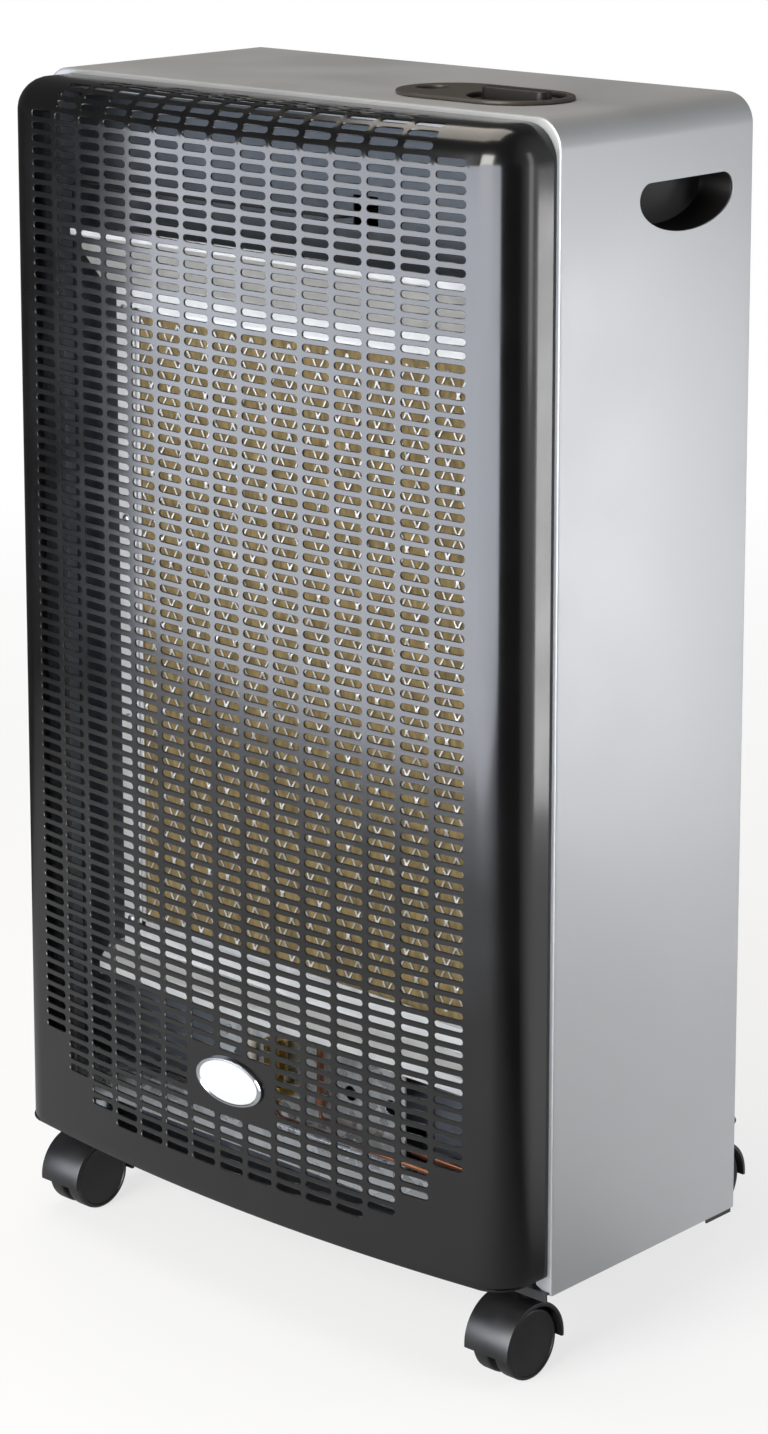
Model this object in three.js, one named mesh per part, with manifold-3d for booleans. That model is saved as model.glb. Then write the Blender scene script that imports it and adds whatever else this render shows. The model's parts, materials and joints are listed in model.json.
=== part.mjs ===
// Portable gas cabinet heater: a steel cabinet on four castors with a slotted, deep-drawn front cover,
// a catalytic burner behind it and a round bay for the gas bottle behind that.
// Millimetres. +Z is up and the front faces -Y. The origin is on the floor, under the middle of the
// whole heater's footprint. Pieces of the cabinet are placed in the housing's own frame: y = 0 is the
// seam between front cover and cabinet, and z = 0 is the cabinet's lower edge.

import * as THREE from "three";
import { mergeVertices } from "three/addons/utils/BufferGeometryUtils.js";
import Module from "manifold-3d";

const wasm = await Module();
wasm.setup();

// ---------------------------------------------------------------- driving dimensions

// Clearances
const SEAT_GAP = 0.3; // between two pieces that touch
const CUT_REACH = 5; // how far a cutting shape stands past the wall it cuts

// Cabinet shell: one sheet bent over both top edges
const SHELL_WIDTH = 424;
const SHELL_HEIGHT = 700;
const SHELL_DEPTH = 178;
const SHELL_BEND_RADIUS = 18;
const SHELL_SHEET = 1.2;
const FRONT_FLANGE = 12;
const REAR_FLANGE = 16;
const FLANGE_START = 4; // the flanges begin this far above the lower edge

// Front cover: a deep-drawn pan, bowed forward, open at the bottom
const COVER_INSET = 3; // how far it stays inside the cabinet's outline
const COVER_SHEET = 1;
const COVER_BOTTOM = 11.6;
const COVER_SIDE_WALL = 20;
const COVER_EDGE_RADIUS = 22;
const COVER_CORNER_RADIUS = 18;
const COVER_INNER_CORNER = 2;
const COVER_BOW = 13;
const COVER_LIP = 10;
const EDGE_STEPS = 3;
const CORNER_STEPS = 3;

// Slots of the cover. Each cut stands for ROWS_PER_CUT rows of the pressed pattern.
const SLOT_COLUMNS = 15;
const SLOT_COLUMN_PITCH = 24.15;
const SLOT_LENGTH = 20.3;
const SLOT_ROW_PITCH = 7.8;
const SLOT_LAND = 3.6; // sheet left between two slots of a column
const SLOT_LOWEST_ROW = 37;
const ROWS_PER_CUT = 6;
const ROLL_SLOT_HEIGHT = 9;
const ROWS_SKIPPED_AT_SIDES = [2, 1]; // cuts left out below, from the outermost column inwards
const ROLL_BARE_COLUMNS = 1; // outermost columns without a slot on the top roll

// Badge
const BADGE_WIDTH = 58;
const BADGE_HEIGHT = 32;
const BADGE_THICKNESS = 2.2;
const BADGE_CENTRE_Z = 93.8;
const BADGE_BARE_WIDTH = 70;
const BADGE_BARE_HEIGHT = 34;

// Control panel in the cabinet's top
const BEZEL_LENGTH = 118;
const BEZEL_WIDTH = 69;
const BEZEL_PROUD = 2.2;
const BEZEL_LIP = 3.5; // how far the bezel covers the cabinet round its hole
const BEZEL_DEPTH = 13;
const BEZEL_RIGHT_END = 164;
const BEZEL_CENTRE_Y = 58;
const KNOB_RADIUS = 28.5;
const KNOB_CLEARANCE = 0.8;
const KNOB_DISC = 5;
const KNOB_GRIP_LENGTH = 50;
const KNOB_GRIP_WIDTH = 11;
const KNOB_GRIP_HEIGHT = 7;
const KNOB_PUSH = 4; // travel of the knob when it is pressed to light the pilot
const WELL_FLOOR = 3;
const SPINDLE_RADIUS = 3;
const BUTTON_X = 64;
const BUTTON_RADIUS = 9.5;
const BUTTON_TRAVEL = 5;
const BUTTON_THICKNESS = 5;
const BUTTON_SHAFT_RADIUS = 4.5;
const PIEZO_RADIUS = 9;
const PIEZO_LENGTH = 46;

// Gas valve under the knob
const VALVE_WIDTH = 36;
const VALVE_DEPTH = 32;
const VALVE_HEIGHT = 36;
const VALVE_DROP = 8.5; // from the bezel's underside down to the bracket's plate
const VALVE_BRACKET_SHEET = 1.6;
const VALVE_BRACKET_LENGTH = 56;
const VALVE_BRACKET_WIDTH = 42;
const PLUG_RADIUS = 9;
const PLUG_LENGTH = 27;
const PLUG_FLOOR = 2;
const INLET_LENGTH = 34;
const INLET_RADIUS = 4.6;

// Hand grips in both sides
const GRIP_CENTRE_Y = 115;
const GRIP_TOP_Z = 656;
const GRIP_LENGTH = 88;
const GRIP_HEIGHT = 31;
const GRIP_CORNER = 10;
const GRIP_WALL = 1.6;
const GRIP_DEPTH = 26;
const GRIP_FLANGE = 6;

// Catalytic burner
const PAD_WIDTH = 288;
const PAD_HEIGHT = 411;
const PAD_BOTTOM = 143;
const PAD_THICKNESS = 8;
const MAT_THICKNESS = 2.6;
const GUARD_THICKNESS = 1.5;
const GUARD_PITCH_X = 62;
const GUARD_PITCH_Z = 66;
const GUARD_STRAND = 5;
const GUARD_BORDER = 6;
const BURNER_SHEET = 1.2;
const BURNER_RIM = 12;
const BURNER_FRAME_Y = 6.3;
const BURNER_FRAME_LAP = 2; // how far the frame covers the guard's edge
const RAIL_FOOT = 15;
const RAIL_SHORTER = 20;
const MIXER_X = 60;
const MIXER_RADIUS = 6;
const MIXER_LENGTH = 27;

// Sheets between the burner and the bottle
const PARTITION_Y = 25;
const PARTITION_FLANGE = 12;
const PARTITION_SHEET = 1.2;
const VENT_LENGTH = 60;
const VENT_HEIGHT = 6;
const TUBE_PASS = [180, 615, 205, 678]; // x, z, x, z of the hole for the tubes
const LEAD_PASS = [30, 618, 50, 638];
const GALVANISED_SHEET = 1;
const HOOD_HALF_WIDTH = 166;
const HOOD_REACH = 24; // in front of the seam
const HOOD_RISE = 32;
const SHELF_HALF_WIDTH = 166;
const SHELF_REACH = 8;
const RAIL_HEIGHT = 24;
const RAIL_BOTTOM = 20;
const RAIL_DEPTH = 12;
const RAIL_FRONT = 3;

// Pilot group below the burner
const PILOT_PLATE_Y = 6;
const PILOT_PLATE_LEFT = -70;
const PILOT_PLATE_RIGHT = 90;
const PILOT_X = -12;
const PILOT_TUBE_RADIUS = 5;
const PILOT_MANTLE_RADIUS = 8;
const ELECTRODE_X = -38;
const ELECTRODE_RADIUS = 3;
const THERMOCOUPLE_X = 22;
const THERMOCOUPLE_RADIUS = 2.4;
const PILOT_GROUP_Z = 66;
const PILOT_BASE = 8;
const PILOT_RISE = 38;
const PORCELAIN_RISE = 30;
const ELECTRODE_WIRE_RADIUS = 1;
const ELECTRODE_RISE = 40;
const THERMOCOUPLE_RISE = 40;
const THERMOCOUPLE_NUT = 7;
const THERMOCOUPLE_NUT_WALL = 1;
const PLATE_HOLE_RADIUS = 5;
const PLATE_HOLE_Z = 80;
const PLATE_HOLES_X = [-52, 44, 78];
const INJECTOR_BOTTOM = 80;
const INJECTOR_LENGTH = 18;
const INJECTOR_JET_LENGTH = 12;

// Tubes and leads, each with the places of its long runs
const LOW_RUN_Z = 52;
const FEED_TUBE_RADIUS = 3;
const FEED_TUBE_BEND = 12;
const FEED_TUBE_X = 197;
const FEED_TOP_Z = 655;
const PILOT_LINE_RADIUS = 2;
const PILOT_LINE_BEND = 8;
const PILOT_LINE_X = 190;
const PILOT_TOP_Z = 668;
const LEAD_RADIUS = 1.6;
const LEAD_BEND = 7;
const LEAD_X = -191;
const LEAD_PASS_X = 40;
const LEAD_TOP_Z = 628;
const CAPILLARY_RADIUS = 1.3;
const CAPILLARY_BEND = 6;
const CAPILLARY_X = 185;
const CAPILLARY_LOW_Z = 59;
const CAPILLARY_TOP_Z = 645;
const CAPILLARY_TURN_Y = 34;

// Bottle bay: base tray and lift-off rear cover
const BOTTLE_AXIS_Y = 180;
const TRAY_RADIUS = 163;
const TRAY_SHEET = 1.2;
const TRAY_LIFT = 1; // the tray's underside above the cabinet's lower edge
const TRAY_FRONT = 3; // how far the tray reaches in front of the seam
const TRAY_UPSTAND = 12;
const TRAY_RIM = 4.5; // turned down round the edge
const TRAY_RIM_START = 152;
const TRAY_EAR_RADIUS = 13; // round each rear castor's stem, past the tray's round end
const REAR_COVER_RADIUS = 159.2;
const REAR_COVER_SHEET = 1;
const REAR_COVER_TOP = 690;
const REAR_DRUM_TOP = 640; // the round part ends below the cabinet's top
const REAR_COVER_HALF_WIDTH = 206;
const REAR_VENT_LENGTH = 110;
const REAR_VENT_HEIGHT = 6;
const REAR_VENT_PITCH = 18;
const REAR_VENTS = 4;

// Castors
const CASTOR_HEIGHT = 55; // from the floor to the cabinet's lower edge
const WHEEL_RADIUS = 22;
const WHEEL_WIDTH = 12;
const WHEEL_EDGE = 1.6;
const CASTOR_WEB = 5;
const CASTOR_WIDTH = 34;
const CASTOR_TRAIL = 16;
const CASTOR_FACETS = 20;
const WHEEL_FACETS = 16;
const CASTOR_HOOD_RADIUS = 26.5;
const CASTOR_HOOD_WALL = 2.6;
const CASTOR_HOOD_DROP = 2; // the hood's lower edge below the axle
const AXLE_RADIUS = 2.5;
const STEM_RADIUS = 4;
const STEM_SINK = 9; // how far the stem goes down into the hood's boss
const STEM_RISE = 12; // above the tray
const BOSS_RADIUS = 8;
const SOCKET_WALL = 2.7;
const SOCKET_FLANGE = 3.5;
const SOCKET_FLANGE_THICKNESS = 1.5;
const FRONT_CASTOR = { x: 186, y: 13 };
const REAR_CASTOR = { x: 120, y: 280 };

// ---------------------------------------------------------------- finishes

const finish = (color, roughness, metalness) =>
  new THREE.MeshStandardMaterial({ color, roughness, metalness });

const silverPaint = () => finish(0xb9bcc0, 0.42, 0.5);
const blackPaint = () => finish(0x2b2b2e, 0.38, 0.2);
const trayPaint = () => finish(0x3a3b3d, 0.5, 0.3);
const blackPlastic = () => finish(0x1d1d1f, 0.5, 0);
const galvanised = () => finish(0xa9afb4, 0.35, 0.85);
const catalystFibre = () => finish(0xb08a45, 0.95, 0);
const ceramicFibre = () => finish(0xe4e0d6, 0.95, 0);
const brightWire = () => finish(0xcfd2d6, 0.3, 0.9);
const brass = () => finish(0xb08d4a, 0.35, 0.9);
const castAluminium = () => finish(0x9a9da1, 0.45, 0.8);
const copper = () => finish(0xa86b45, 0.4, 0.9);
const ceramic = () => finish(0xe9e6de, 0.35, 0);
const rubberLead = () => finish(0x141415, 0.7, 0);
const steel = () => finish(0x8d9196, 0.35, 0.9);
const enamel = () => finish(0xe6e6e4, 0.25, 0.1);

// ---------------------------------------------------------------- solids

// A closed geometry as a solid that can be joined and cut.
function solid(geometry) {
  geometry.deleteAttribute("normal");
  geometry.deleteAttribute("uv");
  const merged = mergeVertices(geometry, 1e-4);
  return new wasm.Manifold(
    new wasm.Mesh({
      numProp: 3,
      vertProperties: new Float32Array(merged.attributes.position.array),
      triVerts: new Uint32Array(merged.index.array),
    }),
  );
}

const join = (first, ...rest) => rest.reduce((all, piece) => all.add(piece), first);
const cut = (first, ...tools) => tools.reduce((left, tool) => left.subtract(tool), first);

function meshOf(name, shape, material) {
  const data = shape.getMesh();
  const geometry = new THREE.BufferGeometry();
  geometry.setAttribute("position", new THREE.BufferAttribute(data.vertProperties, data.numProp));
  geometry.setIndex(new THREE.BufferAttribute(data.triVerts, 1));
  geometry.computeVertexNormals();
  const mesh = new THREE.Mesh(geometry, material);
  mesh.name = name;
  return mesh;
}

// A block between two opposite corners.
function block([x0, y0, z0], [x1, y1, z1]) {
  const geometry = new THREE.BoxGeometry(x1 - x0, y1 - y0, z1 - z0);
  return solid(geometry.translate((x0 + x1) / 2, (y0 + y1) / 2, (z0 + z1) / 2));
}

// Rods along each axis, between two values of that axis.
function rodZ(radius, x, y, z0, z1, sides = 16) {
  const geometry = new THREE.CylinderGeometry(radius, radius, z1 - z0, sides);
  return solid(geometry.rotateX(Math.PI / 2).translate(x, y, (z0 + z1) / 2));
}

function rodX(radius, y, z, x0, x1, sides = 16) {
  const geometry = new THREE.CylinderGeometry(radius, radius, x1 - x0, sides);
  return solid(geometry.rotateZ(Math.PI / 2).translate((x0 + x1) / 2, y, z));
}

// A shape drawn in plan, raised from z0 to z1.
function raised(shape, z0, z1, curveSegments = 8) {
  const options = { depth: z1 - z0, bevelEnabled: false, curveSegments };
  return solid(new THREE.ExtrudeGeometry(shape, options).translate(0, 0, z0));
}

// A shape drawn in front view (x, z), made deep from y0 to y1.
function deepened(shape, y0, y1, curveSegments = 8) {
  const options = { depth: y1 - y0, bevelEnabled: false, curveSegments };
  const geometry = new THREE.ExtrudeGeometry(shape, options);
  return solid(geometry.rotateX(Math.PI / 2).translate(0, y1, 0));
}

// A shape drawn in side view (y, z), made wide from x0 to x1.
function widened(shape, x0, x1, curveSegments = 8) {
  const options = { depth: x1 - x0, bevelEnabled: false, curveSegments };
  const geometry = new THREE.ExtrudeGeometry(shape, options);
  return solid(geometry.rotateX(Math.PI / 2).rotateZ(Math.PI / 2).translate(x0, 0, 0));
}

// A revolved profile of [radius, height] points about Z, starting and ending on the axis or closed.
function turned(profile, sides = 16) {
  const points = profile.map(([r, h]) => new THREE.Vector2(r, h));
  return solid(new THREE.LatheGeometry(points, sides).rotateX(Math.PI / 2));
}

// A route of straight runs with a rounded bend at each corner.
class Route extends THREE.Curve {
  constructor(corners, bendRadius) {
    super();
    const mostOfRun = 0.45;
    const points = corners.map((corner) => new THREE.Vector3(...corner));
    this.stops = [points[0]];
    for (let i = 1; i < points.length - 1; i++) {
      const back = points[i - 1].clone().sub(points[i]);
      const ahead = points[i + 1].clone().sub(points[i]);
      const wanted = bendRadius / Math.tan(back.angleTo(ahead) / 2);
      const room = mostOfRun * Math.min(back.length(), ahead.length());
      const reach = Math.min(wanted, room);
      const start = points[i].clone().add(back.setLength(reach));
      const end = points[i].clone().add(ahead.setLength(reach));
      const middle = start.clone().add(end).divideScalar(4).addScaledVector(points[i], 0.5);
      this.stops.push(start, middle, end);
    }
    this.stops.push(points[points.length - 1]);
    this.runs = this.stops.length - 1;
  }

  getPointAt(share, target = new THREE.Vector3()) {
    return target.copy(this.stops[Math.round(share * this.runs)]);
  }

  getTangentAt(share, target = new THREE.Vector3()) {
    const i = Math.round(share * this.runs);
    const before = this.stops[Math.max(i - 1, 0)];
    const after = this.stops[Math.min(i + 1, this.runs)];
    return target.copy(after).sub(before).normalize();
  }
}

// A round tube or wire along a route.
function tubeAlong(corners, radius, bendRadius, sides = 6) {
  const route = new Route(corners, bendRadius);
  const section = new THREE.Shape();
  for (let i = 0; i < sides; i++) {
    const angle = (i / sides) * 2 * Math.PI;
    const place = [radius * Math.cos(angle), radius * Math.sin(angle)];
    if (i === 0) section.moveTo(...place);
    else section.lineTo(...place);
  }
  section.closePath();
  return solid(new THREE.ExtrudeGeometry(section, { steps: route.runs, extrudePath: route }));
}

// The outline of a sheet bent along a line of points, seen from its edge.
function bentSheet(points, thickness) {
  const half = thickness / 2;
  const line = points.map(([a, b]) => new THREE.Vector2(a, b));
  const sides = line.map((point, i) => {
    const before = i > 0 ? point.clone().sub(line[i - 1]).normalize() : null;
    const after = i < line.length - 1 ? line[i + 1].clone().sub(point).normalize() : null;
    const along = (before ?? after).clone().add(after ?? before).normalize();
    const reach = half / Math.max(along.dot(after ?? before), 0.2);
    return new THREE.Vector2(-along.y, along.x).multiplyScalar(reach);
  });
  const left = line.map((point, i) => point.clone().add(sides[i]));
  const right = line.map((point, i) => point.clone().sub(sides[i]));
  return new THREE.Shape([...right, ...left.reverse()]);
}

// A plate outline with a straight pair of sides and round ends, long in x.
function stadium(centreX, centreY, length, width) {
  const radius = width / 2;
  const half = length / 2 - radius;
  const shape = new THREE.Shape();
  shape.moveTo(centreX - half, centreY - radius);
  shape.lineTo(centreX + half, centreY - radius);
  shape.absarc(centreX + half, centreY, radius, -Math.PI / 2, Math.PI / 2);
  shape.lineTo(centreX - half, centreY + radius);
  shape.absarc(centreX - half, centreY, radius, Math.PI / 2, (3 * Math.PI) / 2);
  return shape;
}

function rectangle(x0, y0, x1, y1) {
  const shape = new THREE.Shape();
  shape.moveTo(x0, y0);
  shape.lineTo(x1, y0);
  shape.lineTo(x1, y1);
  shape.lineTo(x0, y1);
  shape.closePath();
  return shape;
}

// ---------------------------------------------------------------- derived places

const COVER_HALF_WIDTH = SHELL_WIDTH / 2 - COVER_INSET;
const COVER_TOP = SHELL_HEIGHT - COVER_INSET;
const COVER_REACH = COVER_SIDE_WALL + COVER_EDGE_RADIUS + COVER_BOW;
const FRONT_REACH = COVER_REACH + SEAT_GAP + BADGE_THICKNESS;
const REAR_REACH = BOTTLE_AXIS_Y + TRAY_RADIUS;
const SEAM_Y = -(REAR_REACH - FRONT_REACH) / 2;
const SHELL_INNER_X = SHELL_WIDTH / 2 - SHELL_SHEET;
const TRAY_TOP = TRAY_LIFT + TRAY_SHEET;

const heater = new THREE.Group();
const housing = new THREE.Group();
housing.position.set(0, SEAM_Y, CASTOR_HEIGHT);
heater.add(housing);

// ---------------------------------------------------------------- cabinet shell

// Outline of the bent sheet in front view, offset inwards, open at the bottom.
function shellOutline(offset, bottom) {
  const half = SHELL_WIDTH / 2 - offset;
  const top = SHELL_HEIGHT - offset;
  const radius = Math.max(SHELL_BEND_RADIUS - offset, 1);
  const shape = new THREE.Shape();
  shape.moveTo(-half, bottom);
  shape.lineTo(half, bottom);
  shape.lineTo(half, top - radius);
  shape.absarc(half - radius, top - radius, radius, 0, Math.PI / 2);
  shape.lineTo(-half + radius, top);
  shape.absarc(-half + radius, top - radius, radius, Math.PI / 2, Math.PI);
  shape.closePath();
  return shape;
}

function shellBand(width, bottom, y0, y1) {
  return cut(
    deepened(shellOutline(0, bottom), y0, y1, 6),
    deepened(shellOutline(width, bottom - CUT_REACH), y0 - CUT_REACH, y1 + CUT_REACH, 6),
  );
}

const BEZEL_CENTRE_X = BEZEL_RIGHT_END - BEZEL_LENGTH / 2;
const BEZEL_PLUG_LENGTH = BEZEL_LENGTH - 2 * BEZEL_LIP;
const BEZEL_PLUG_WIDTH = BEZEL_WIDTH - 2 * BEZEL_LIP;

// The half-moon of a hand grip in side view (y, z), grown by an offset.
function gripOutline(offset) {
  const half = GRIP_LENGTH / 2 + offset;
  const top = GRIP_TOP_Z + offset;
  const shoulder = GRIP_TOP_Z - GRIP_CORNER;
  const corner = GRIP_CORNER + offset;
  const drop = GRIP_HEIGHT - GRIP_CORNER + offset;
  const shape = new THREE.Shape();
  shape.moveTo(GRIP_CENTRE_Y + half - corner, top);
  shape.lineTo(GRIP_CENTRE_Y - half + corner, top);
  shape.absarc(GRIP_CENTRE_Y - half + corner, shoulder, corner, Math.PI / 2, Math.PI);
  shape.absellipse(GRIP_CENTRE_Y, shoulder, half, drop, Math.PI, 2 * Math.PI);
  shape.absarc(GRIP_CENTRE_Y + half - corner, shoulder, corner, 0, Math.PI / 2);
  return shape;
}

function makeCabinetShell() {
  const sheet = shellBand(SHELL_SHEET, 0, 0, SHELL_DEPTH);
  const front = shellBand(FRONT_FLANGE, FLANGE_START, 0, SHELL_SHEET);
  const rear = shellBand(REAR_FLANGE, FLANGE_START, SHELL_DEPTH - SHELL_SHEET, SHELL_DEPTH);
  const bezelHole = raised(
    stadium(
      BEZEL_CENTRE_X,
      BEZEL_CENTRE_Y,
      BEZEL_PLUG_LENGTH + 2 * SEAT_GAP,
      BEZEL_PLUG_WIDTH + 2 * SEAT_GAP,
    ),
    SHELL_HEIGHT - SHELL_SHEET - CUT_REACH,
    SHELL_HEIGHT + CUT_REACH,
  );
  const reach = SHELL_WIDTH / 2 + CUT_REACH;
  const gripHoles = widened(gripOutline(0), -reach, reach, 6);
  return cut(join(sheet, front, rear), bezelHole, gripHoles);
}

housing.add(meshOf("cabinet_shell", makeCabinetShell(), silverPaint()));

// ---------------------------------------------------------------- front cover

// How far the front stands forward of its sides at x.
const bowAt = (x, halfSpan) => COVER_BOW * Math.max(0, 1 - (x / halfSpan) ** 2);

// Boundaries between the slot columns, which are also the folds of the bowed face.
function columnBoundaries() {
  const first = (-SLOT_COLUMNS * SLOT_COLUMN_PITCH) / 2;
  return Array.from({ length: SLOT_COLUMNS + 1 }, (_, i) => first + i * SLOT_COLUMN_PITCH);
}

// One ring of the pan in front view, from the lower left corner over the top to the lower right.
function panRing(half, top, bottom, corner) {
  const points = [[-half, bottom]];
  for (let i = 0; i <= CORNER_STEPS; i++) {
    const angle = (i / CORNER_STEPS) * (Math.PI / 2);
    points.push([
      -half + corner * (1 - Math.cos(angle)),
      top - corner * (1 - Math.sin(angle)),
    ]);
  }
  columnBoundaries().forEach((x) => points.push([x, top]));
  const right = points.slice(0, CORNER_STEPS + 2).map(([x, z]) => [-x, z]);
  return [...points, ...right.reverse()];
}

// The whole space of the pan, less a skin: its skin is 0 for the outside and the sheet's thickness
// for the inside.
function panSpace(skin, bottom, back) {
  const half = COVER_HALF_WIDTH - skin;
  const top = COVER_TOP - skin;
  const radius = COVER_EDGE_RADIUS - skin;
  const bowSpan = COVER_HALF_WIDTH - COVER_EDGE_RADIUS;
  const rings = [panRing(half, top, bottom, COVER_CORNER_RADIUS).map(([x, z]) => [x, back, z])];
  for (let step = 0; step <= EDGE_STEPS; step++) {
    const angle = (step / EDGE_STEPS) * (Math.PI / 2);
    const inset = radius * (1 - Math.cos(angle));
    const share = step / EDGE_STEPS;
    const corner = COVER_CORNER_RADIUS + (COVER_INNER_CORNER - COVER_CORNER_RADIUS) * share;
    const forward = COVER_SIDE_WALL + radius * Math.sin(angle);
    rings.push(
      panRing(half - inset, top - inset, bottom, corner).map(([x, z]) => [
        x,
        -forward - bowAt(x, bowSpan),
        z,
      ]),
    );
  }
  const count = rings[0].length;
  const positions = rings.flat(2);
  const at = (ring, i) => ring * count + i;
  const faces = [];
  for (let ring = 0; ring + 1 < rings.length; ring++)
    for (let i = 0; i + 1 < count; i++)
      faces.push(
        [at(ring, i), at(ring, i + 1), at(ring + 1, i + 1)],
        [at(ring, i), at(ring + 1, i + 1), at(ring + 1, i)],
      );

  // The front face: one flat strip for each column, down to a row of points on the lower edge.
  const last = rings.length - 1;
  const firstTop = CORNER_STEPS + 2;
  const lastTop = count - 1 - firstTop;
  const lower = positions.length / 3;
  const forward = COVER_SIDE_WALL + radius;
  columnBoundaries().forEach((x) => positions.push(x, -forward - bowAt(x, bowSpan), bottom));
  for (let i = firstTop; i < lastTop; i++) {
    const under = lower + i - firstTop;
    faces.push([at(last, i), at(last, i + 1), under + 1], [at(last, i), under + 1, under]);
  }
  for (let i = 0; i < firstTop; i++) {
    faces.push([at(last, i), at(last, i + 1), lower]);
    const mirrored = count - 1 - i;
    faces.push([at(last, mirrored), lower + SLOT_COLUMNS, at(last, mirrored - 1)]);
  }

  // The flat faces that close it behind and below, fanned out from the lower left corner.
  for (let i = 1; i + 1 < count; i++) faces.push([at(0, 0), at(0, i + 1), at(0, i)]);
  const rim = [
    ...rings.map((_, ring) => at(ring, 0)),
    ...columnBoundaries().map((_, i) => lower + i),
    ...rings.map((_, ring) => at(last - ring, count - 1)),
  ];
  for (let i = 1; i + 1 < rim.length; i++) faces.push([rim[0], rim[i], rim[i + 1]]);

  const geometry = new THREE.BufferGeometry();
  geometry.setAttribute("position", new THREE.Float32BufferAttribute(positions, 3));
  geometry.setIndex(faces.flat());
  const made = solid(geometry);
  if (made.volume() > 0) return made;
  geometry.setIndex(faces.map(([a, b, c]) => [a, c, b]).flat());
  return solid(geometry);
}

// Centres of the slot cuts on the flat part of the front: [column, x, z].
function slotPlaces() {
  const places = [];
  const pitch = SLOT_ROW_PITCH * ROWS_PER_CUT;
  const lowest = SLOT_LOWEST_ROW + (SLOT_ROW_PITCH * (ROWS_PER_CUT - 1)) / 2;
  const highest = COVER_TOP - COVER_EDGE_RADIUS - pitch / 2;
  const middle = (SLOT_COLUMNS - 1) / 2;
  for (let column = 0; column < SLOT_COLUMNS; column++) {
    const x = (column - middle) * SLOT_COLUMN_PITCH;
    const fromSide = Math.min(column, SLOT_COLUMNS - 1 - column);
    const skipped = ROWS_SKIPPED_AT_SIDES[fromSide] ?? 0;
    for (let z = lowest + skipped * pitch; z < highest; z += pitch) {
      const nearBadge =
        Math.abs(x) < BADGE_BARE_WIDTH / 2 &&
        Math.abs(z - BADGE_CENTRE_Z) < BADGE_BARE_HEIGHT / 2;
      if (!nearBadge) places.push([column, x, z]);
    }
  }
  return places;
}

function makeFrontCover() {
  const outside = panSpace(0, COVER_BOTTOM, -SEAT_GAP);
  const inside = panSpace(COVER_SHEET, COVER_BOTTOM - CUT_REACH, CUT_REACH);
  const lipLevel = COVER_BOTTOM + COVER_SHEET;
  const half = COVER_HALF_WIDTH + CUT_REACH;
  const slab = block([-half, -COVER_REACH - CUT_REACH, COVER_BOTTOM], [half, 0, lipLevel]);
  const lipHole = block(
    [
      -COVER_HALF_WIDTH + COVER_LIP,
      -COVER_SIDE_WALL - COVER_EDGE_RADIUS + COVER_LIP,
      COVER_BOTTOM - CUT_REACH,
    ],
    [COVER_HALF_WIDTH - COVER_LIP, CUT_REACH, lipLevel + CUT_REACH],
  );
  const lip = cut(outside.intersect(slab), lipHole);

  const slotHeight = SLOT_ROW_PITCH * ROWS_PER_CUT - ROWS_PER_CUT * SLOT_LAND;
  const flatBack = -COVER_SIDE_WALL - COVER_EDGE_RADIUS + CUT_REACH;
  const flatCuts = slotPlaces().map(([, x, z]) =>
    block(
      [x - SLOT_LENGTH / 2, -COVER_REACH - CUT_REACH, z - slotHeight / 2],
      [x + SLOT_LENGTH / 2, flatBack, z + slotHeight / 2],
    ),
  );

  // One slot a column on the rolled top edge, square to the sheet half way round the roll.
  const rollCuts = [];
  const middle = (SLOT_COLUMNS - 1) / 2;
  const diagonal = Math.SQRT1_2 * COVER_EDGE_RADIUS;
  for (let column = ROLL_BARE_COLUMNS; column < SLOT_COLUMNS - ROLL_BARE_COLUMNS; column++) {
    const x = (column - middle) * SLOT_COLUMN_PITCH;
    const bow = bowAt(x, COVER_HALF_WIDTH - COVER_EDGE_RADIUS);
    const tool = new THREE.BoxGeometry(SLOT_LENGTH, 2 * CUT_REACH, ROLL_SLOT_HEIGHT);
    tool.rotateX(-Math.PI / 4);
    tool.translate(
      x,
      -COVER_SIDE_WALL - bow - diagonal,
      COVER_TOP - COVER_EDGE_RADIUS + diagonal,
    );
    rollCuts.push(solid(tool));
  }
  const shell = join(cut(outside, inside), lip);
  return cut(shell, wasm.Manifold.union([...flatCuts, ...rollCuts]));
}

housing.add(meshOf("front_cover", makeFrontCover(), blackPaint()));

// ---------------------------------------------------------------- badge

function makeBadge() {
  const face = -COVER_REACH - SEAT_GAP;
  const oval = (scale) => {
    const shape = new THREE.Shape();
    const half = (BADGE_WIDTH / 2) * scale;
    const rise = (BADGE_HEIGHT / 2) * scale;
    shape.absellipse(0, BADGE_CENTRE_Z, half, rise, 0, 2 * Math.PI);
    return shape;
  };
  const base = deepened(oval(1), face - BADGE_THICKNESS / 2, face, 12);
  const crown = deepened(oval(0.9), face - BADGE_THICKNESS, face, 12);
  return join(base, crown);
}

housing.add(meshOf("badge_plate", makeBadge(), enamel()));

// ---------------------------------------------------------------- control panel and gas valve

const BEZEL_TOP = SHELL_HEIGHT + SEAT_GAP + BEZEL_PROUD;
const BEZEL_BOTTOM = SHELL_HEIGHT - BEZEL_DEPTH;
const WELL_BOTTOM = BEZEL_BOTTOM + WELL_FLOOR;
const KNOB_X = BEZEL_RIGHT_END - BEZEL_WIDTH / 2;
const KNOB_BOTTOM = WELL_BOTTOM + KNOB_PUSH + SEAT_GAP;
const KNOB_DISC_TOP = KNOB_BOTTOM + KNOB_DISC;
const BUTTON_BOTTOM = WELL_BOTTOM + BUTTON_TRAVEL + SEAT_GAP;
const BRACKET_TOP = BEZEL_BOTTOM - VALVE_DROP;
const BRACKET_UNDER = BRACKET_TOP - VALVE_BRACKET_SHEET;
const VALVE_TOP = BRACKET_UNDER - SEAT_GAP;
const VALVE_BOTTOM = VALVE_TOP - VALVE_HEIGHT;
const PLUG_TOP = VALVE_TOP - SEAT_GAP;
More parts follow.
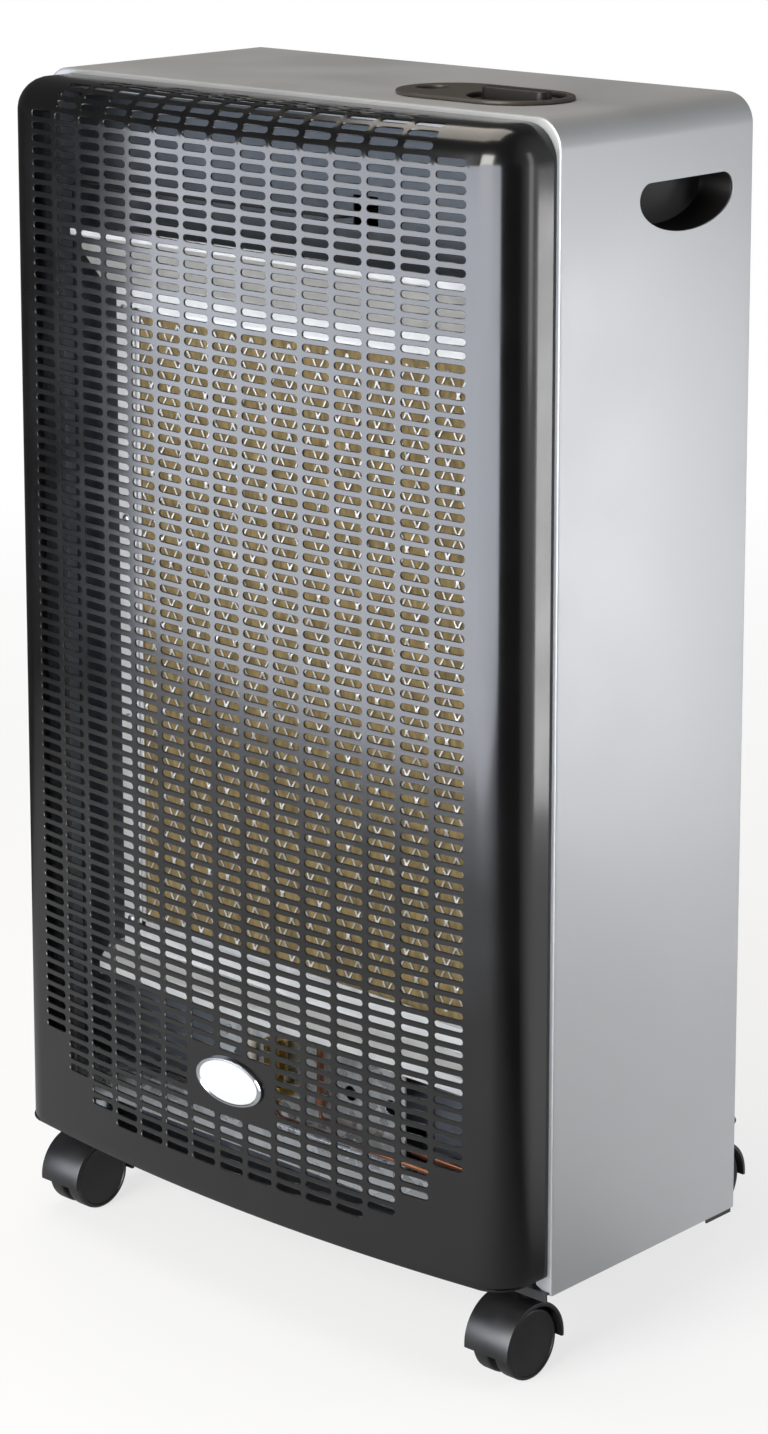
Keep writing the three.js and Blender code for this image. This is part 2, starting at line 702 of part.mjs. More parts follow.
const PLUG_BOTTOM = PLUG_TOP - PLUG_LENGTH;
const SPINDLE_BOTTOM = PLUG_BOTTOM + PLUG_FLOOR + KNOB_PUSH + SEAT_GAP;
const SPINDLE_TOP = KNOB_DISC_TOP;
const PIEZO_TOP = BEZEL_BOTTOM - SEAT_GAP;
const PIEZO_BOTTOM = PIEZO_TOP - PIEZO_LENGTH;
const SHAFT_BOTTOM = PIEZO_TOP - SEAT_GAP;
const PIEZO_BORE_DEPTH = BUTTON_TRAVEL + 2 * SEAT_GAP;

function makeBezel() {
  const lip = stadium(BEZEL_CENTRE_X, BEZEL_CENTRE_Y, BEZEL_LENGTH, BEZEL_WIDTH);
  const plug = stadium(BEZEL_CENTRE_X, BEZEL_CENTRE_Y, BEZEL_PLUG_LENGTH, BEZEL_PLUG_WIDTH);
  const body = join(
    raised(lip, SHELL_HEIGHT + SEAT_GAP, BEZEL_TOP, 10),
    raised(plug, BEZEL_BOTTOM, BEZEL_TOP, 10),
  );
  const above = BEZEL_TOP + CUT_REACH;
  const under = BEZEL_BOTTOM - CUT_REACH;
  return cut(
    body,
    rodZ(KNOB_RADIUS + KNOB_CLEARANCE, KNOB_X, BEZEL_CENTRE_Y, WELL_BOTTOM, above, 32),
    rodZ(BUTTON_RADIUS + KNOB_CLEARANCE, BUTTON_X, BEZEL_CENTRE_Y, WELL_BOTTOM, above, 20),
    rodZ(SPINDLE_RADIUS + KNOB_CLEARANCE, KNOB_X, BEZEL_CENTRE_Y, under, above, 12),
    rodZ(BUTTON_SHAFT_RADIUS + KNOB_CLEARANCE, BUTTON_X, BEZEL_CENTRE_Y, under, above, 12),
  );
}

function makeKnob() {
  const chamfer = 1.4;
  const disc = turned(
    [
      [0, 0],
      [KNOB_RADIUS, 0],
      [KNOB_RADIUS, KNOB_DISC - chamfer],
      [KNOB_RADIUS - chamfer, KNOB_DISC],
      [0, KNOB_DISC],
    ],
    32,
  );
  const grip = stadium(0, 0, KNOB_GRIP_LENGTH, KNOB_GRIP_WIDTH);
  const bar = raised(grip, KNOB_DISC / 2, KNOB_DISC + KNOB_GRIP_HEIGHT, 6);
  const bore = rodZ(
    SPINDLE_RADIUS + SEAT_GAP,
    0,
    0,
    -CUT_REACH,
    SPINDLE_TOP - KNOB_BOTTOM + SEAT_GAP,
    12,
  );
  return cut(join(disc, bar), bore).translate([KNOB_X, BEZEL_CENTRE_Y, KNOB_BOTTOM]);
}

function makeValveBracket() {
  const x0 = KNOB_X - VALVE_BRACKET_LENGTH / 2;
  const x1 = KNOB_X + VALVE_BRACKET_LENGTH / 2;
  const y0 = BEZEL_CENTRE_Y - VALVE_BRACKET_WIDTH / 2;
  const y1 = BEZEL_CENTRE_Y + VALVE_BRACKET_WIDTH / 2;
  const legTop = BEZEL_BOTTOM - SEAT_GAP;
  const plate = block([x0, y0, BRACKET_UNDER], [x1, y1, BRACKET_TOP]);
  const left = block([x0, y0, BRACKET_UNDER], [x0 + VALVE_BRACKET_SHEET, y1, legTop]);
  const right = block([x1 - VALVE_BRACKET_SHEET, y0, BRACKET_UNDER], [x1, y1, legTop]);
  const hole = rodZ(
    SPINDLE_RADIUS + KNOB_CLEARANCE,
    KNOB_X,
    BEZEL_CENTRE_Y,
    BRACKET_UNDER - CUT_REACH,
    BRACKET_TOP + CUT_REACH,
    12,
  );
  return cut(join(plate, left, right), hole);
}

function makeValveBody() {
  const body = block(
    [KNOB_X - VALVE_WIDTH / 2, BEZEL_CENTRE_Y - VALVE_DEPTH / 2, VALVE_BOTTOM],
    [KNOB_X + VALVE_WIDTH / 2, BEZEL_CENTRE_Y + VALVE_DEPTH / 2, VALVE_TOP],
  );
  const bore = rodZ(
    PLUG_RADIUS + SEAT_GAP,
    KNOB_X,
    BEZEL_CENTRE_Y,
    PLUG_BOTTOM - SEAT_GAP,
    VALVE_TOP + CUT_REACH,
    24,
  );
  return cut(body, bore);
}

function makeValvePlug() {
  const plug = rodZ(PLUG_RADIUS, KNOB_X, BEZEL_CENTRE_Y, PLUG_BOTTOM, PLUG_TOP, 24);
  const bore = rodZ(
    SPINDLE_RADIUS + SEAT_GAP,
    KNOB_X,
    BEZEL_CENTRE_Y,
    PLUG_BOTTOM + PLUG_FLOOR,
    PLUG_TOP + CUT_REACH,
    12,
  );
  return cut(plug, bore);
}

// A brass tail with barbs, on which the hose from the bottle's regulator is clamped.
function makeGasInlet() {
  const barb = 1.2;
  const barbs = 3;
  const plain = INLET_LENGTH / 3;
  const step = (INLET_LENGTH - plain) / barbs;
  const profile = [
    [0, 0],
    [INLET_RADIUS + 2 * barb, 0],
    [INLET_RADIUS + 2 * barb, -plain],
    [INLET_RADIUS, -plain],
  ];
  for (let i = 1; i <= barbs; i++)
    profile.push(
      [INLET_RADIUS + barb, -plain - (i - 1) * step - step / 3],
      [INLET_RADIUS, -plain - i * step],
    );
  profile.push([0, -INLET_LENGTH]);
  const tail = turned(profile.reverse(), 12);
  return tail.translate([KNOB_X, BEZEL_CENTRE_Y, VALVE_BOTTOM - SEAT_GAP]);
}

function makePiezo() {
  const body = rodZ(PIEZO_RADIUS, BUTTON_X, BEZEL_CENTRE_Y, PIEZO_BOTTOM, PIEZO_TOP, 16);
  const bore = rodZ(
    BUTTON_SHAFT_RADIUS + SEAT_GAP,
    BUTTON_X,
    BEZEL_CENTRE_Y,
    PIEZO_TOP - PIEZO_BORE_DEPTH,
    PIEZO_TOP + CUT_REACH,
    12,
  );
  return cut(body, bore);
}

function makeButton() {
  const bevel = 1;
  const cap = turned(
    [
      [0, 0],
      [BUTTON_RADIUS, 0],
      [BUTTON_RADIUS, BUTTON_THICKNESS - bevel],
      [BUTTON_RADIUS - bevel, BUTTON_THICKNESS],
      [0, BUTTON_THICKNESS],
    ],
    20,
  ).translate([BUTTON_X, BEZEL_CENTRE_Y, BUTTON_BOTTOM]);
  const shaft = rodZ(
    BUTTON_SHAFT_RADIUS,
    BUTTON_X,
    BEZEL_CENTRE_Y,
    SHAFT_BOTTOM,
    BUTTON_BOTTOM + bevel,
    12,
  );
  return join(cap, shaft);
}

housing.add(
  meshOf("control_bezel", makeBezel(), blackPlastic()),
  meshOf("control_knob", makeKnob(), blackPlastic()),
  meshOf(
    "valve_spindle",
    rodZ(SPINDLE_RADIUS, KNOB_X, BEZEL_CENTRE_Y, SPINDLE_BOTTOM, SPINDLE_TOP, 12),
    steel(),
  ),
  meshOf("valve_plug", makeValvePlug(), brass()),
  meshOf("valve_body", makeValveBody(), castAluminium()),
  meshOf("valve_bracket", makeValveBracket(), galvanised()),
  meshOf("gas_inlet", makeGasInlet(), brass()),
  meshOf("piezo_igniter", makePiezo(), blackPlastic()),
  meshOf("igniter_button", makeButton(), blackPlastic()),
);

// ---------------------------------------------------------------- hand grips

function makeGripCup() {
  const mouth = SHELL_INNER_X - SEAT_GAP;
  const flange = widened(gripOutline(GRIP_FLANGE), mouth - GRIP_WALL, mouth, 6);
  const tub = widened(gripOutline(GRIP_WALL), mouth - GRIP_DEPTH, mouth, 6);
  const hollow = widened(gripOutline(0), mouth - GRIP_DEPTH + GRIP_WALL, mouth + CUT_REACH, 6);
  return cut(join(flange, tub), hollow);
}

housing.add(
  meshOf("grip_cup_right", makeGripCup(), blackPlastic()),
  meshOf("grip_cup_left", makeGripCup().mirror([1, 0, 0]), blackPlastic()),
);

// ---------------------------------------------------------------- catalytic burner

const PAD_MIDDLE_Z = PAD_BOTTOM + PAD_HEIGHT / 2;
const FRAME_BACK_Y = BURNER_FRAME_Y + BURNER_SHEET;
const PAN_FRONT_Y = FRAME_BACK_Y + SEAT_GAP;
const GUARD_BACK_Y = PAN_FRONT_Y + GUARD_THICKNESS;
const PAD_FRONT_Y = GUARD_BACK_Y + SEAT_GAP;
const MAT_FRONT_Y = PAD_FRONT_Y + PAD_THICKNESS + SEAT_GAP;
const PAN_FLOOR_Y = MAT_FRONT_Y + MAT_THICKNESS + SEAT_GAP;
const PAN_BACK_Y = PAN_FLOOR_Y + BURNER_SHEET;
const PAN_SIDE = SEAT_GAP + BURNER_SHEET;
const MIXER_Y = (PAN_FRONT_Y + PAN_BACK_Y) / 2;

// A plate round the pad's middle, grown sideways by a margin.
function padPlate(margin, y0, y1) {
  const half = PAD_WIDTH / 2 + margin;
  const rise = PAD_HEIGHT / 2 + margin;
  return block([-half, y0, PAD_MIDDLE_Z - rise], [half, y1, PAD_MIDDLE_Z + rise]);
}

function makeBurnerPan() {
  const rim = padPlate(PAN_SIDE + BURNER_RIM, PAN_FRONT_Y, PAN_FRONT_Y + BURNER_SHEET);
  const tub = padPlate(PAN_SIDE, PAN_FRONT_Y, PAN_BACK_Y);
  const hollow = padPlate(SEAT_GAP, PAN_FRONT_Y - CUT_REACH, PAN_FLOOR_Y);
  const mixerTop = PAD_BOTTOM - SEAT_GAP;
  const mouth = PAD_BOTTOM - MIXER_LENGTH;
  const mixer = rodZ(MIXER_RADIUS, MIXER_X, MIXER_Y, mouth, mixerTop, 12);
  const bore = rodZ(
    MIXER_RADIUS - BURNER_SHEET,
    MIXER_X,
    MIXER_Y,
    mouth - CUT_REACH,
    mixerTop + CUT_REACH,
    12,
  );
  return cut(join(cut(join(rim, tub), hollow), mixer), bore);
}

// Expanded metal: a plate with diamonds cut in staggered rows.
function makeGuard() {
  const plate = padPlate(0, PAN_FRONT_Y, GUARD_BACK_Y);
  const halfX = PAD_WIDTH / 2 - GUARD_BORDER;
  const halfZ = PAD_HEIGHT / 2 - GUARD_BORDER;
  const a = GUARD_PITCH_X / 2 - GUARD_STRAND;
  const b = GUARD_PITCH_Z / 2 - (GUARD_STRAND * GUARD_PITCH_Z) / GUARD_PITCH_X;
  const rows = Math.floor((halfZ - b) / (GUARD_PITCH_Z / 2));
  const columns = Math.ceil(halfX / GUARD_PITCH_X);
  const cuts = [];
  for (let row = -rows; row <= rows; row++)
    for (let column = -columns; column <= columns; column++) {
      const stagger = row % 2 === 0 ? 0 : GUARD_PITCH_X / 2;
      const x = column * GUARD_PITCH_X + stagger;
      if (Math.abs(x) + a > halfX) continue;
      const z = PAD_MIDDLE_Z + (row * GUARD_PITCH_Z) / 2;
      const diamond = new THREE.Shape();
      diamond.moveTo(x - a, z);
      diamond.lineTo(x, z - b);
      diamond.lineTo(x + a, z);
      diamond.lineTo(x, z + b);
      diamond.closePath();
      cuts.push(deepened(diamond, PAN_FRONT_Y - CUT_REACH, GUARD_BACK_Y + CUT_REACH));
    }
  return cut(plate, wasm.Manifold.union(cuts));
}

function makeBurnerFrame() {
  return cut(
    padPlate(PAN_SIDE + BURNER_RIM, BURNER_FRAME_Y, FRAME_BACK_Y),
    padPlate(-BURNER_FRAME_LAP, BURNER_FRAME_Y - CUT_REACH, FRAME_BACK_Y + CUT_REACH),
  );
}

// A Z-shaped rail that carries the pan's rim on the partition.
function makeBurnerRail() {
  const half = BURNER_SHEET / 2;
  const rimBack = PAN_FRONT_Y + BURNER_SHEET + SEAT_GAP + half;
  const foot = PARTITION_Y - SEAT_GAP - half;
  const panSide = PAD_WIDTH / 2 + PAN_SIDE + SEAT_GAP;
  const web = PAD_WIDTH / 2 + PAN_SIDE + BURNER_RIM;
  const profile = bentSheet(
    [
      [panSide, rimBack],
      [web, rimBack],
      [web, foot],
      [web + RAIL_FOOT, foot],
    ],
    BURNER_SHEET,
  );
  const z0 = PAD_BOTTOM + RAIL_SHORTER;
  return raised(profile, z0, PAD_BOTTOM + PAD_HEIGHT - RAIL_SHORTER);
}

housing.add(
  meshOf("burner_pan", makeBurnerPan(), galvanised()),
  meshOf("insulation_mat", padPlate(0, MAT_FRONT_Y, MAT_FRONT_Y + MAT_THICKNESS), ceramicFibre()),
  meshOf("catalytic_pad", padPlate(0, PAD_FRONT_Y, PAD_FRONT_Y + PAD_THICKNESS), catalystFibre()),
  meshOf("mesh_guard", makeGuard(), brightWire()),
  meshOf("burner_frame", makeBurnerFrame(), galvanised()),
  meshOf("burner_rail_right", makeBurnerRail(), galvanised()),
  meshOf("burner_rail_left", makeBurnerRail().mirror([1, 0, 0]), galvanised()),
);

// ---------------------------------------------------------------- partition, hood and shelf

const PARTITION_HALF = SHELL_INNER_X - 2 * SEAT_GAP - TRAY_SHEET;
const RIM_TOP = PAD_BOTTOM + PAD_HEIGHT + PAN_SIDE + BURNER_RIM;
const RIM_BOTTOM = PAD_BOTTOM - PAN_SIDE - BURNER_RIM;
const HOOD_Z = RIM_TOP + SEAT_GAP + GALVANISED_SHEET / 2;
const SHELF_Z = RIM_BOTTOM - SEAT_GAP - GALVANISED_SHEET / 2;
const SHEET_FOOT_Y = PARTITION_Y - SEAT_GAP - GALVANISED_SHEET / 2;

function makePartition() {
  const top = SHELL_HEIGHT - SHELL_SHEET - SEAT_GAP;
  const bottom = TRAY_TOP + SEAT_GAP;
  const back = PARTITION_Y + PARTITION_SHEET;
  const plan = new THREE.Shape();
  plan.moveTo(-PARTITION_HALF, PARTITION_Y);
  plan.lineTo(PARTITION_HALF, PARTITION_Y);
  plan.lineTo(PARTITION_HALF, PARTITION_Y + PARTITION_FLANGE);
  plan.lineTo(PARTITION_HALF - PARTITION_SHEET, PARTITION_Y + PARTITION_FLANGE);
  plan.lineTo(PARTITION_HALF - PARTITION_SHEET, back);
  plan.lineTo(-PARTITION_HALF + PARTITION_SHEET, back);
  plan.lineTo(-PARTITION_HALF + PARTITION_SHEET, PARTITION_Y + PARTITION_FLANGE);
  plan.lineTo(-PARTITION_HALF, PARTITION_Y + PARTITION_FLANGE);
  plan.closePath();
  // The corners are cut off under the cabinet's two bends.
  const arch = deepened(
    shellOutline(SHELL_SHEET + SEAT_GAP, -CUT_REACH),
    0,
    PARTITION_Y + 2 * PARTITION_FLANGE,
    6,
  );
  const holes = [TUBE_PASS, LEAD_PASS].map(([x0, z0, x1, z1]) =>
    block([x0, PARTITION_Y - CUT_REACH, z0], [x1, back + CUT_REACH, z1]),
  );
  for (const side of [-1, 1])
    for (const row of [1, 2, 3]) {
      const x = side * VENT_LENGTH;
      const z = bottom + row * 3 * VENT_HEIGHT;
      holes.push(
        block(
          [x - VENT_LENGTH / 2, PARTITION_Y - CUT_REACH, z],
          [x + VENT_LENGTH / 2, back + CUT_REACH, z + VENT_HEIGHT],
        ),
      );
    }
  return cut(raised(plan, bottom, top).intersect(arch), ...holes);
}

// The hood above the burner turns the hot air forwards through the cover.
function makeHood() {
  const upstand = 14;
  const lip = 6;
  const crease = 2;
  const profile = bentSheet(
    [
      [SHEET_FOOT_Y, HOOD_Z + upstand],
      [SHEET_FOOT_Y, HOOD_Z],
      [crease, HOOD_Z],
      [-HOOD_REACH, HOOD_Z + HOOD_RISE],
      [-HOOD_REACH, HOOD_Z + HOOD_RISE + lip],
    ],
    GALVANISED_SHEET,
  );
  return widened(profile, -HOOD_HALF_WIDTH, HOOD_HALF_WIDTH);
}

function makeShelf() {
  const downstand = 10;
  const crease = 2;
  const slope = 8;
  const profile = bentSheet(
    [
      [SHEET_FOOT_Y, SHELF_Z - downstand],
      [SHEET_FOOT_Y, SHELF_Z],
      [crease, SHELF_Z],
      [-SHELF_REACH, SHELF_Z - slope],
      [-SHELF_REACH, SHELF_Z - slope - downstand],
    ],
    GALVANISED_SHEET,
  );
  const mixerHole = rodZ(
    MIXER_RADIUS + KNOB_CLEARANCE,
    MIXER_X,
    MIXER_Y,
    SHELF_Z - CUT_REACH,
    SHELF_Z + CUT_REACH,
    12,
  );
  return cut(widened(profile, -SHELF_HALF_WIDTH, SHELF_HALF_WIDTH), mixerHole);
}

// A channel across the cabinet behind the cover's lower edge.
function makeCrossRail() {
  const half = GALVANISED_SHEET / 2;
  const front = RAIL_FRONT + half;
  const back = RAIL_FRONT + RAIL_DEPTH;
  const profile = bentSheet(
    [
      [back, RAIL_BOTTOM + half],
      [front, RAIL_BOTTOM + half],
      [front, RAIL_BOTTOM + RAIL_HEIGHT - half],
      [back, RAIL_BOTTOM + RAIL_HEIGHT - half],
    ],
    GALVANISED_SHEET,
  );
  const reach = SHELL_INNER_X - SEAT_GAP;
  return widened(profile, -reach, reach);
}

housing.add(
  meshOf("partition_panel", makePartition(), galvanised()),
  meshOf("heat_hood", makeHood(), galvanised()),
  meshOf("burner_shelf", makeShelf(), galvanised()),
  meshOf("cross_rail", makeCrossRail(), galvanised()),
);

// ---------------------------------------------------------------- pilot group

const PILOT_PLATE_BACK = PILOT_PLATE_Y + GALVANISED_SHEET;
const PILOT_SEAT_Y = PILOT_PLATE_Y - SEAT_GAP;
const PILOT_PLATE_TOP = SHELF_Z - GALVANISED_SHEET / 2 - SEAT_GAP;
const INJECTOR_Y = MIXER_Y;
const INJECTOR_FLAT = MIXER_Y - PILOT_PLATE_BACK - SEAT_GAP;

function makePilotPlate() {
  const plate = block(
    [PILOT_PLATE_LEFT, PILOT_PLATE_Y, RAIL_BOTTOM + RAIL_HEIGHT + SEAT_GAP],
    [PILOT_PLATE_RIGHT, PILOT_PLATE_BACK, PILOT_PLATE_TOP],
  );
  const radius = PLATE_HOLE_RADIUS;
  const holes = PLATE_HOLES_X.map((x) =>
    deepened(
      new THREE.Shape().absellipse(x, PLATE_HOLE_Z, radius, radius, 0, 2 * Math.PI),
      PILOT_PLATE_Y - CUT_REACH,
      PILOT_PLATE_BACK + CUT_REACH,
      5,
    ),
  );
  return cut(plate, ...holes);
}

function makePilotBurner() {
  const base = PILOT_BASE;
  const tubeTop = PILOT_GROUP_Z + PILOT_RISE;
  const y = PILOT_SEAT_Y - PILOT_MANTLE_RADIUS;
  return join(
    block(
      [PILOT_X - PILOT_MANTLE_RADIUS, y - PILOT_TUBE_RADIUS, PILOT_GROUP_Z],
      [PILOT_X + PILOT_MANTLE_RADIUS, PILOT_SEAT_Y, PILOT_GROUP_Z + base],
    ),
    rodZ(PILOT_TUBE_RADIUS, PILOT_X, y, PILOT_GROUP_Z + base / 2, tubeTop, 12),
    rodZ(PILOT_MANTLE_RADIUS, PILOT_X, y, PILOT_GROUP_Z + 2 * base, tubeTop - 1, 12),
  );
}

function makeElectrode() {
  const y = PILOT_SEAT_Y - ELECTRODE_RADIUS;
  const collar = PILOT_GROUP_Z + PORCELAIN_RISE;
  const porcelain = rodZ(ELECTRODE_RADIUS, ELECTRODE_X, y, PILOT_GROUP_Z, collar, 10);
  const end = PILOT_GROUP_Z + ELECTRODE_RISE;
  const tip = rodZ(ELECTRODE_WIRE_RADIUS, ELECTRODE_X, y, collar - 2 * ELECTRODE_WIRE_RADIUS, end, 6);
  return join(porcelain, tip);
}

function makeThermocouple() {
  const nutRadius = THERMOCOUPLE_RADIUS + THERMOCOUPLE_NUT_WALL;
  const y = PILOT_SEAT_Y - nutRadius;
  const nutTop = PILOT_GROUP_Z + THERMOCOUPLE_NUT;
  const nut = rodZ(nutRadius, THERMOCOUPLE_X, y, PILOT_GROUP_Z, nutTop, 6);
  const end = PILOT_GROUP_Z + THERMOCOUPLE_RISE;
  const probe = rodZ(THERMOCOUPLE_RADIUS, THERMOCOUPLE_X, y, nutTop - THERMOCOUPLE_NUT_WALL, end, 10);
  return join(nut, probe);
}

// A hexagonal brass holder whose jet blows up into the burner's mixing tube.
function makeInjector() {
  const hexRadius = INJECTOR_FLAT / Math.cos(Math.PI / 6);
  const hex = rodZ(hexRadius, 0, 0, 0, INJECTOR_LENGTH, 6).rotate([0, 0, 30]);
  const jet = rodZ(INJECTOR_FLAT / 2, 0, 0, INJECTOR_LENGTH - 1, INJECTOR_LENGTH + INJECTOR_JET_LENGTH, 10);
  return join(hex, jet).translate([MIXER_X, INJECTOR_Y, INJECTOR_BOTTOM]);
}

housing.add(
  meshOf("pilot_plate", makePilotPlate(), galvanised()),
  meshOf("pilot_burner", makePilotBurner(), brass()),
  meshOf("spark_electrode", makeElectrode(), ceramic()),
  meshOf("thermocouple", makeThermocouple(), copper()),
  meshOf("injector", makeInjector(), brass()),
);

// ---------------------------------------------------------------- tubes and leads

const VALVE_SIDE_X = KNOB_X + VALVE_WIDTH / 2 + SEAT_GAP;
const PILOT_Y = PILOT_SEAT_Y - PILOT_MANTLE_RADIUS;
const ELECTRODE_Y = PILOT_SEAT_Y - ELECTRODE_RADIUS;
const PROBE_Y = PILOT_SEAT_Y - THERMOCOUPLE_RADIUS - 1;
const UNDER_GROUP = PILOT_GROUP_Z - SEAT_GAP;
const PILOT_LINE_Y = BEZEL_CENTRE_Y - 8;
const CAPILLARY_END_X = KNOB_X + 8;

const feedRoute = [
  [MIXER_X, INJECTOR_Y, INJECTOR_BOTTOM - SEAT_GAP],
  [MIXER_X, INJECTOR_Y, LOW_RUN_Z],
  [FEED_TUBE_X, INJECTOR_Y, LOW_RUN_Z],
  [FEED_TUBE_X, INJECTOR_Y, FEED_TOP_Z],
  [FEED_TUBE_X, BEZEL_CENTRE_Y, FEED_TOP_Z],
  [VALVE_SIDE_X, BEZEL_CENTRE_Y, FEED_TOP_Z],
];
const pilotRoute = [
  [PILOT_X, PILOT_Y, UNDER_GROUP],
  [PILOT_X, PILOT_Y, LOW_RUN_Z],
  [PILOT_LINE_X, PILOT_Y, LOW_RUN_Z],
  [PILOT_LINE_X, PILOT_Y, PILOT_TOP_Z],
  [PILOT_LINE_X, PILOT_LINE_Y, PILOT_TOP_Z],
  [VALVE_SIDE_X, PILOT_LINE_Y, PILOT_TOP_Z],
];
const leadRoute = [
  [BUTTON_X, BEZEL_CENTRE_Y, PIEZO_BOTTOM - SEAT_GAP],
  [BUTTON_X, BEZEL_CENTRE_Y, LEAD_TOP_Z],
  [LEAD_PASS_X, BEZEL_CENTRE_Y, LEAD_TOP_Z],
  [LEAD_PASS_X, ELECTRODE_Y, LEAD_TOP_Z],
  [LEAD_X, ELECTRODE_Y, LEAD_TOP_Z],
  [LEAD_X, ELECTRODE_Y, LOW_RUN_Z],
  [ELECTRODE_X, ELECTRODE_Y, LOW_RUN_Z],
  [ELECTRODE_X, ELECTRODE_Y, UNDER_GROUP],
];
const capillaryRoute = [
  [THERMOCOUPLE_X, PROBE_Y, UNDER_GROUP],
  [THERMOCOUPLE_X, PROBE_Y, CAPILLARY_LOW_Z],
  [CAPILLARY_X, PROBE_Y, CAPILLARY_LOW_Z],
  [CAPILLARY_X, PROBE_Y, CAPILLARY_TOP_Z],
  [CAPILLARY_X, CAPILLARY_TURN_Y, CAPILLARY_TOP_Z],
  [CAPILLARY_END_X, CAPILLARY_TURN_Y, CAPILLARY_TOP_Z],
  [CAPILLARY_END_X, BEZEL_CENTRE_Y - VALVE_DEPTH / 2 - SEAT_GAP, CAPILLARY_TOP_Z],
];

const feedTube = tubeAlong(feedRoute, FEED_TUBE_RADIUS, FEED_TUBE_BEND, 8);
const pilotLine = tubeAlong(pilotRoute, PILOT_LINE_RADIUS, PILOT_LINE_BEND);
const ignitionLead = tubeAlong(leadRoute, LEAD_RADIUS, LEAD_BEND);
const capillary = tubeAlong(capillaryRoute, CAPILLARY_RADIUS, CAPILLARY_BEND);

housing.add(
  meshOf("burner_feed_tube", feedTube, copper()),
  meshOf("pilot_line", pilotLine, copper()),
  meshOf("ignition_lead", ignitionLead, rubberLead()),
  meshOf("thermocouple_lead", capillary, copper()),
);

// ---------------------------------------------------------------- base tray

// Plan of the tray: as wide as the cabinet in front, then round behind it under the bottle.
function trayOutline(inset) {
  const half = SHELL_INNER_X - SEAT_GAP - inset;
  const front = -TRAY_FRONT + inset;
  const shoulder = SHELL_DEPTH - SHELL_SHEET - SEAT_GAP - inset;
  const radius = TRAY_RADIUS - inset;
  const start = Math.asin((shoulder - BOTTLE_AXIS_Y) / radius);
  const shape = new THREE.Shape();
  shape.moveTo(-half, front);
  shape.lineTo(half, front);
  shape.lineTo(half, shoulder);
  shape.lineTo(radius * Math.cos(start), shoulder);
  shape.absarc(0, BOTTLE_AXIS_Y, radius, start, Math.PI - start);
  shape.lineTo(-half, shoulder);
  shape.closePath();
  return shape;
}

const castorPlaces = {
  front_left: [-FRONT_CASTOR.x, FRONT_CASTOR.y],
  front_right: [FRONT_CASTOR.x, FRONT_CASTOR.y],
  rear_left: [-REAR_CASTOR.x, REAR_CASTOR.y],
  rear_right: [REAR_CASTOR.x, REAR_CASTOR.y],
};
const SOCKET_RADIUS = STEM_RADIUS + SEAT_GAP + SOCKET_WALL;

function makeTray() {
  const ears = [-1, 1].map((side) =>
    rodZ(TRAY_EAR_RADIUS, side * REAR_CASTOR.x, REAR_CASTOR.y, TRAY_LIFT, TRAY_TOP, 20),
  );
  const plate = join(raised(trayOutline(0), TRAY_LIFT, TRAY_TOP, 20), ...ears);
  const rimBottom = TRAY_TOP - TRAY_RIM - TRAY_SHEET;
  const rim = cut(
    raised(trayOutline(0), rimBottom, TRAY_TOP, 20),
    raised(trayOutline(TRAY_SHEET), rimBottom - CUT_REACH, TRAY_TOP + CUT_REACH, 20),
  );
  // The turned-down rim runs round the bottle's end and along the front edge.
  const reach = SHELL_WIDTH;
  const middle = block(
    [-reach, TRAY_SHEET - TRAY_FRONT, rimBottom - CUT_REACH],
    [reach, TRAY_RIM_START, TRAY_TOP + CUT_REACH],
  );
  const atEars = [-1, 1].map((side) => {
    const top = TRAY_TOP + CUT_REACH;
    return rodZ(TRAY_EAR_RADIUS, side * REAR_CASTOR.x, REAR_CASTOR.y, -TRAY_EAR_RADIUS, top, 20);
  });
  const outerX = SHELL_INNER_X - SEAT_GAP;
  const sides = [-1, 1].map((side) =>
    block(
      [Math.min(side * outerX, side * (outerX - TRAY_SHEET)), CUT_REACH, TRAY_LIFT],
      [
        Math.max(side * outerX, side * (outerX - TRAY_SHEET)),
        TRAY_RIM_START,
        TRAY_TOP + TRAY_UPSTAND,
      ],
    ),
  );
  const holes = Object.values(castorPlaces).map(([x, y]) =>
    rodZ(SOCKET_RADIUS + SEAT_GAP, x, y, -CUT_REACH, TRAY_TOP + CUT_REACH, 16),
  );
  return cut(join(plate, cut(rim, middle, ...atEars), ...sides), ...holes);
}

housing.add(meshOf("base_tray", makeTray(), trayPaint()));

// ---------------------------------------------------------------- rear cover

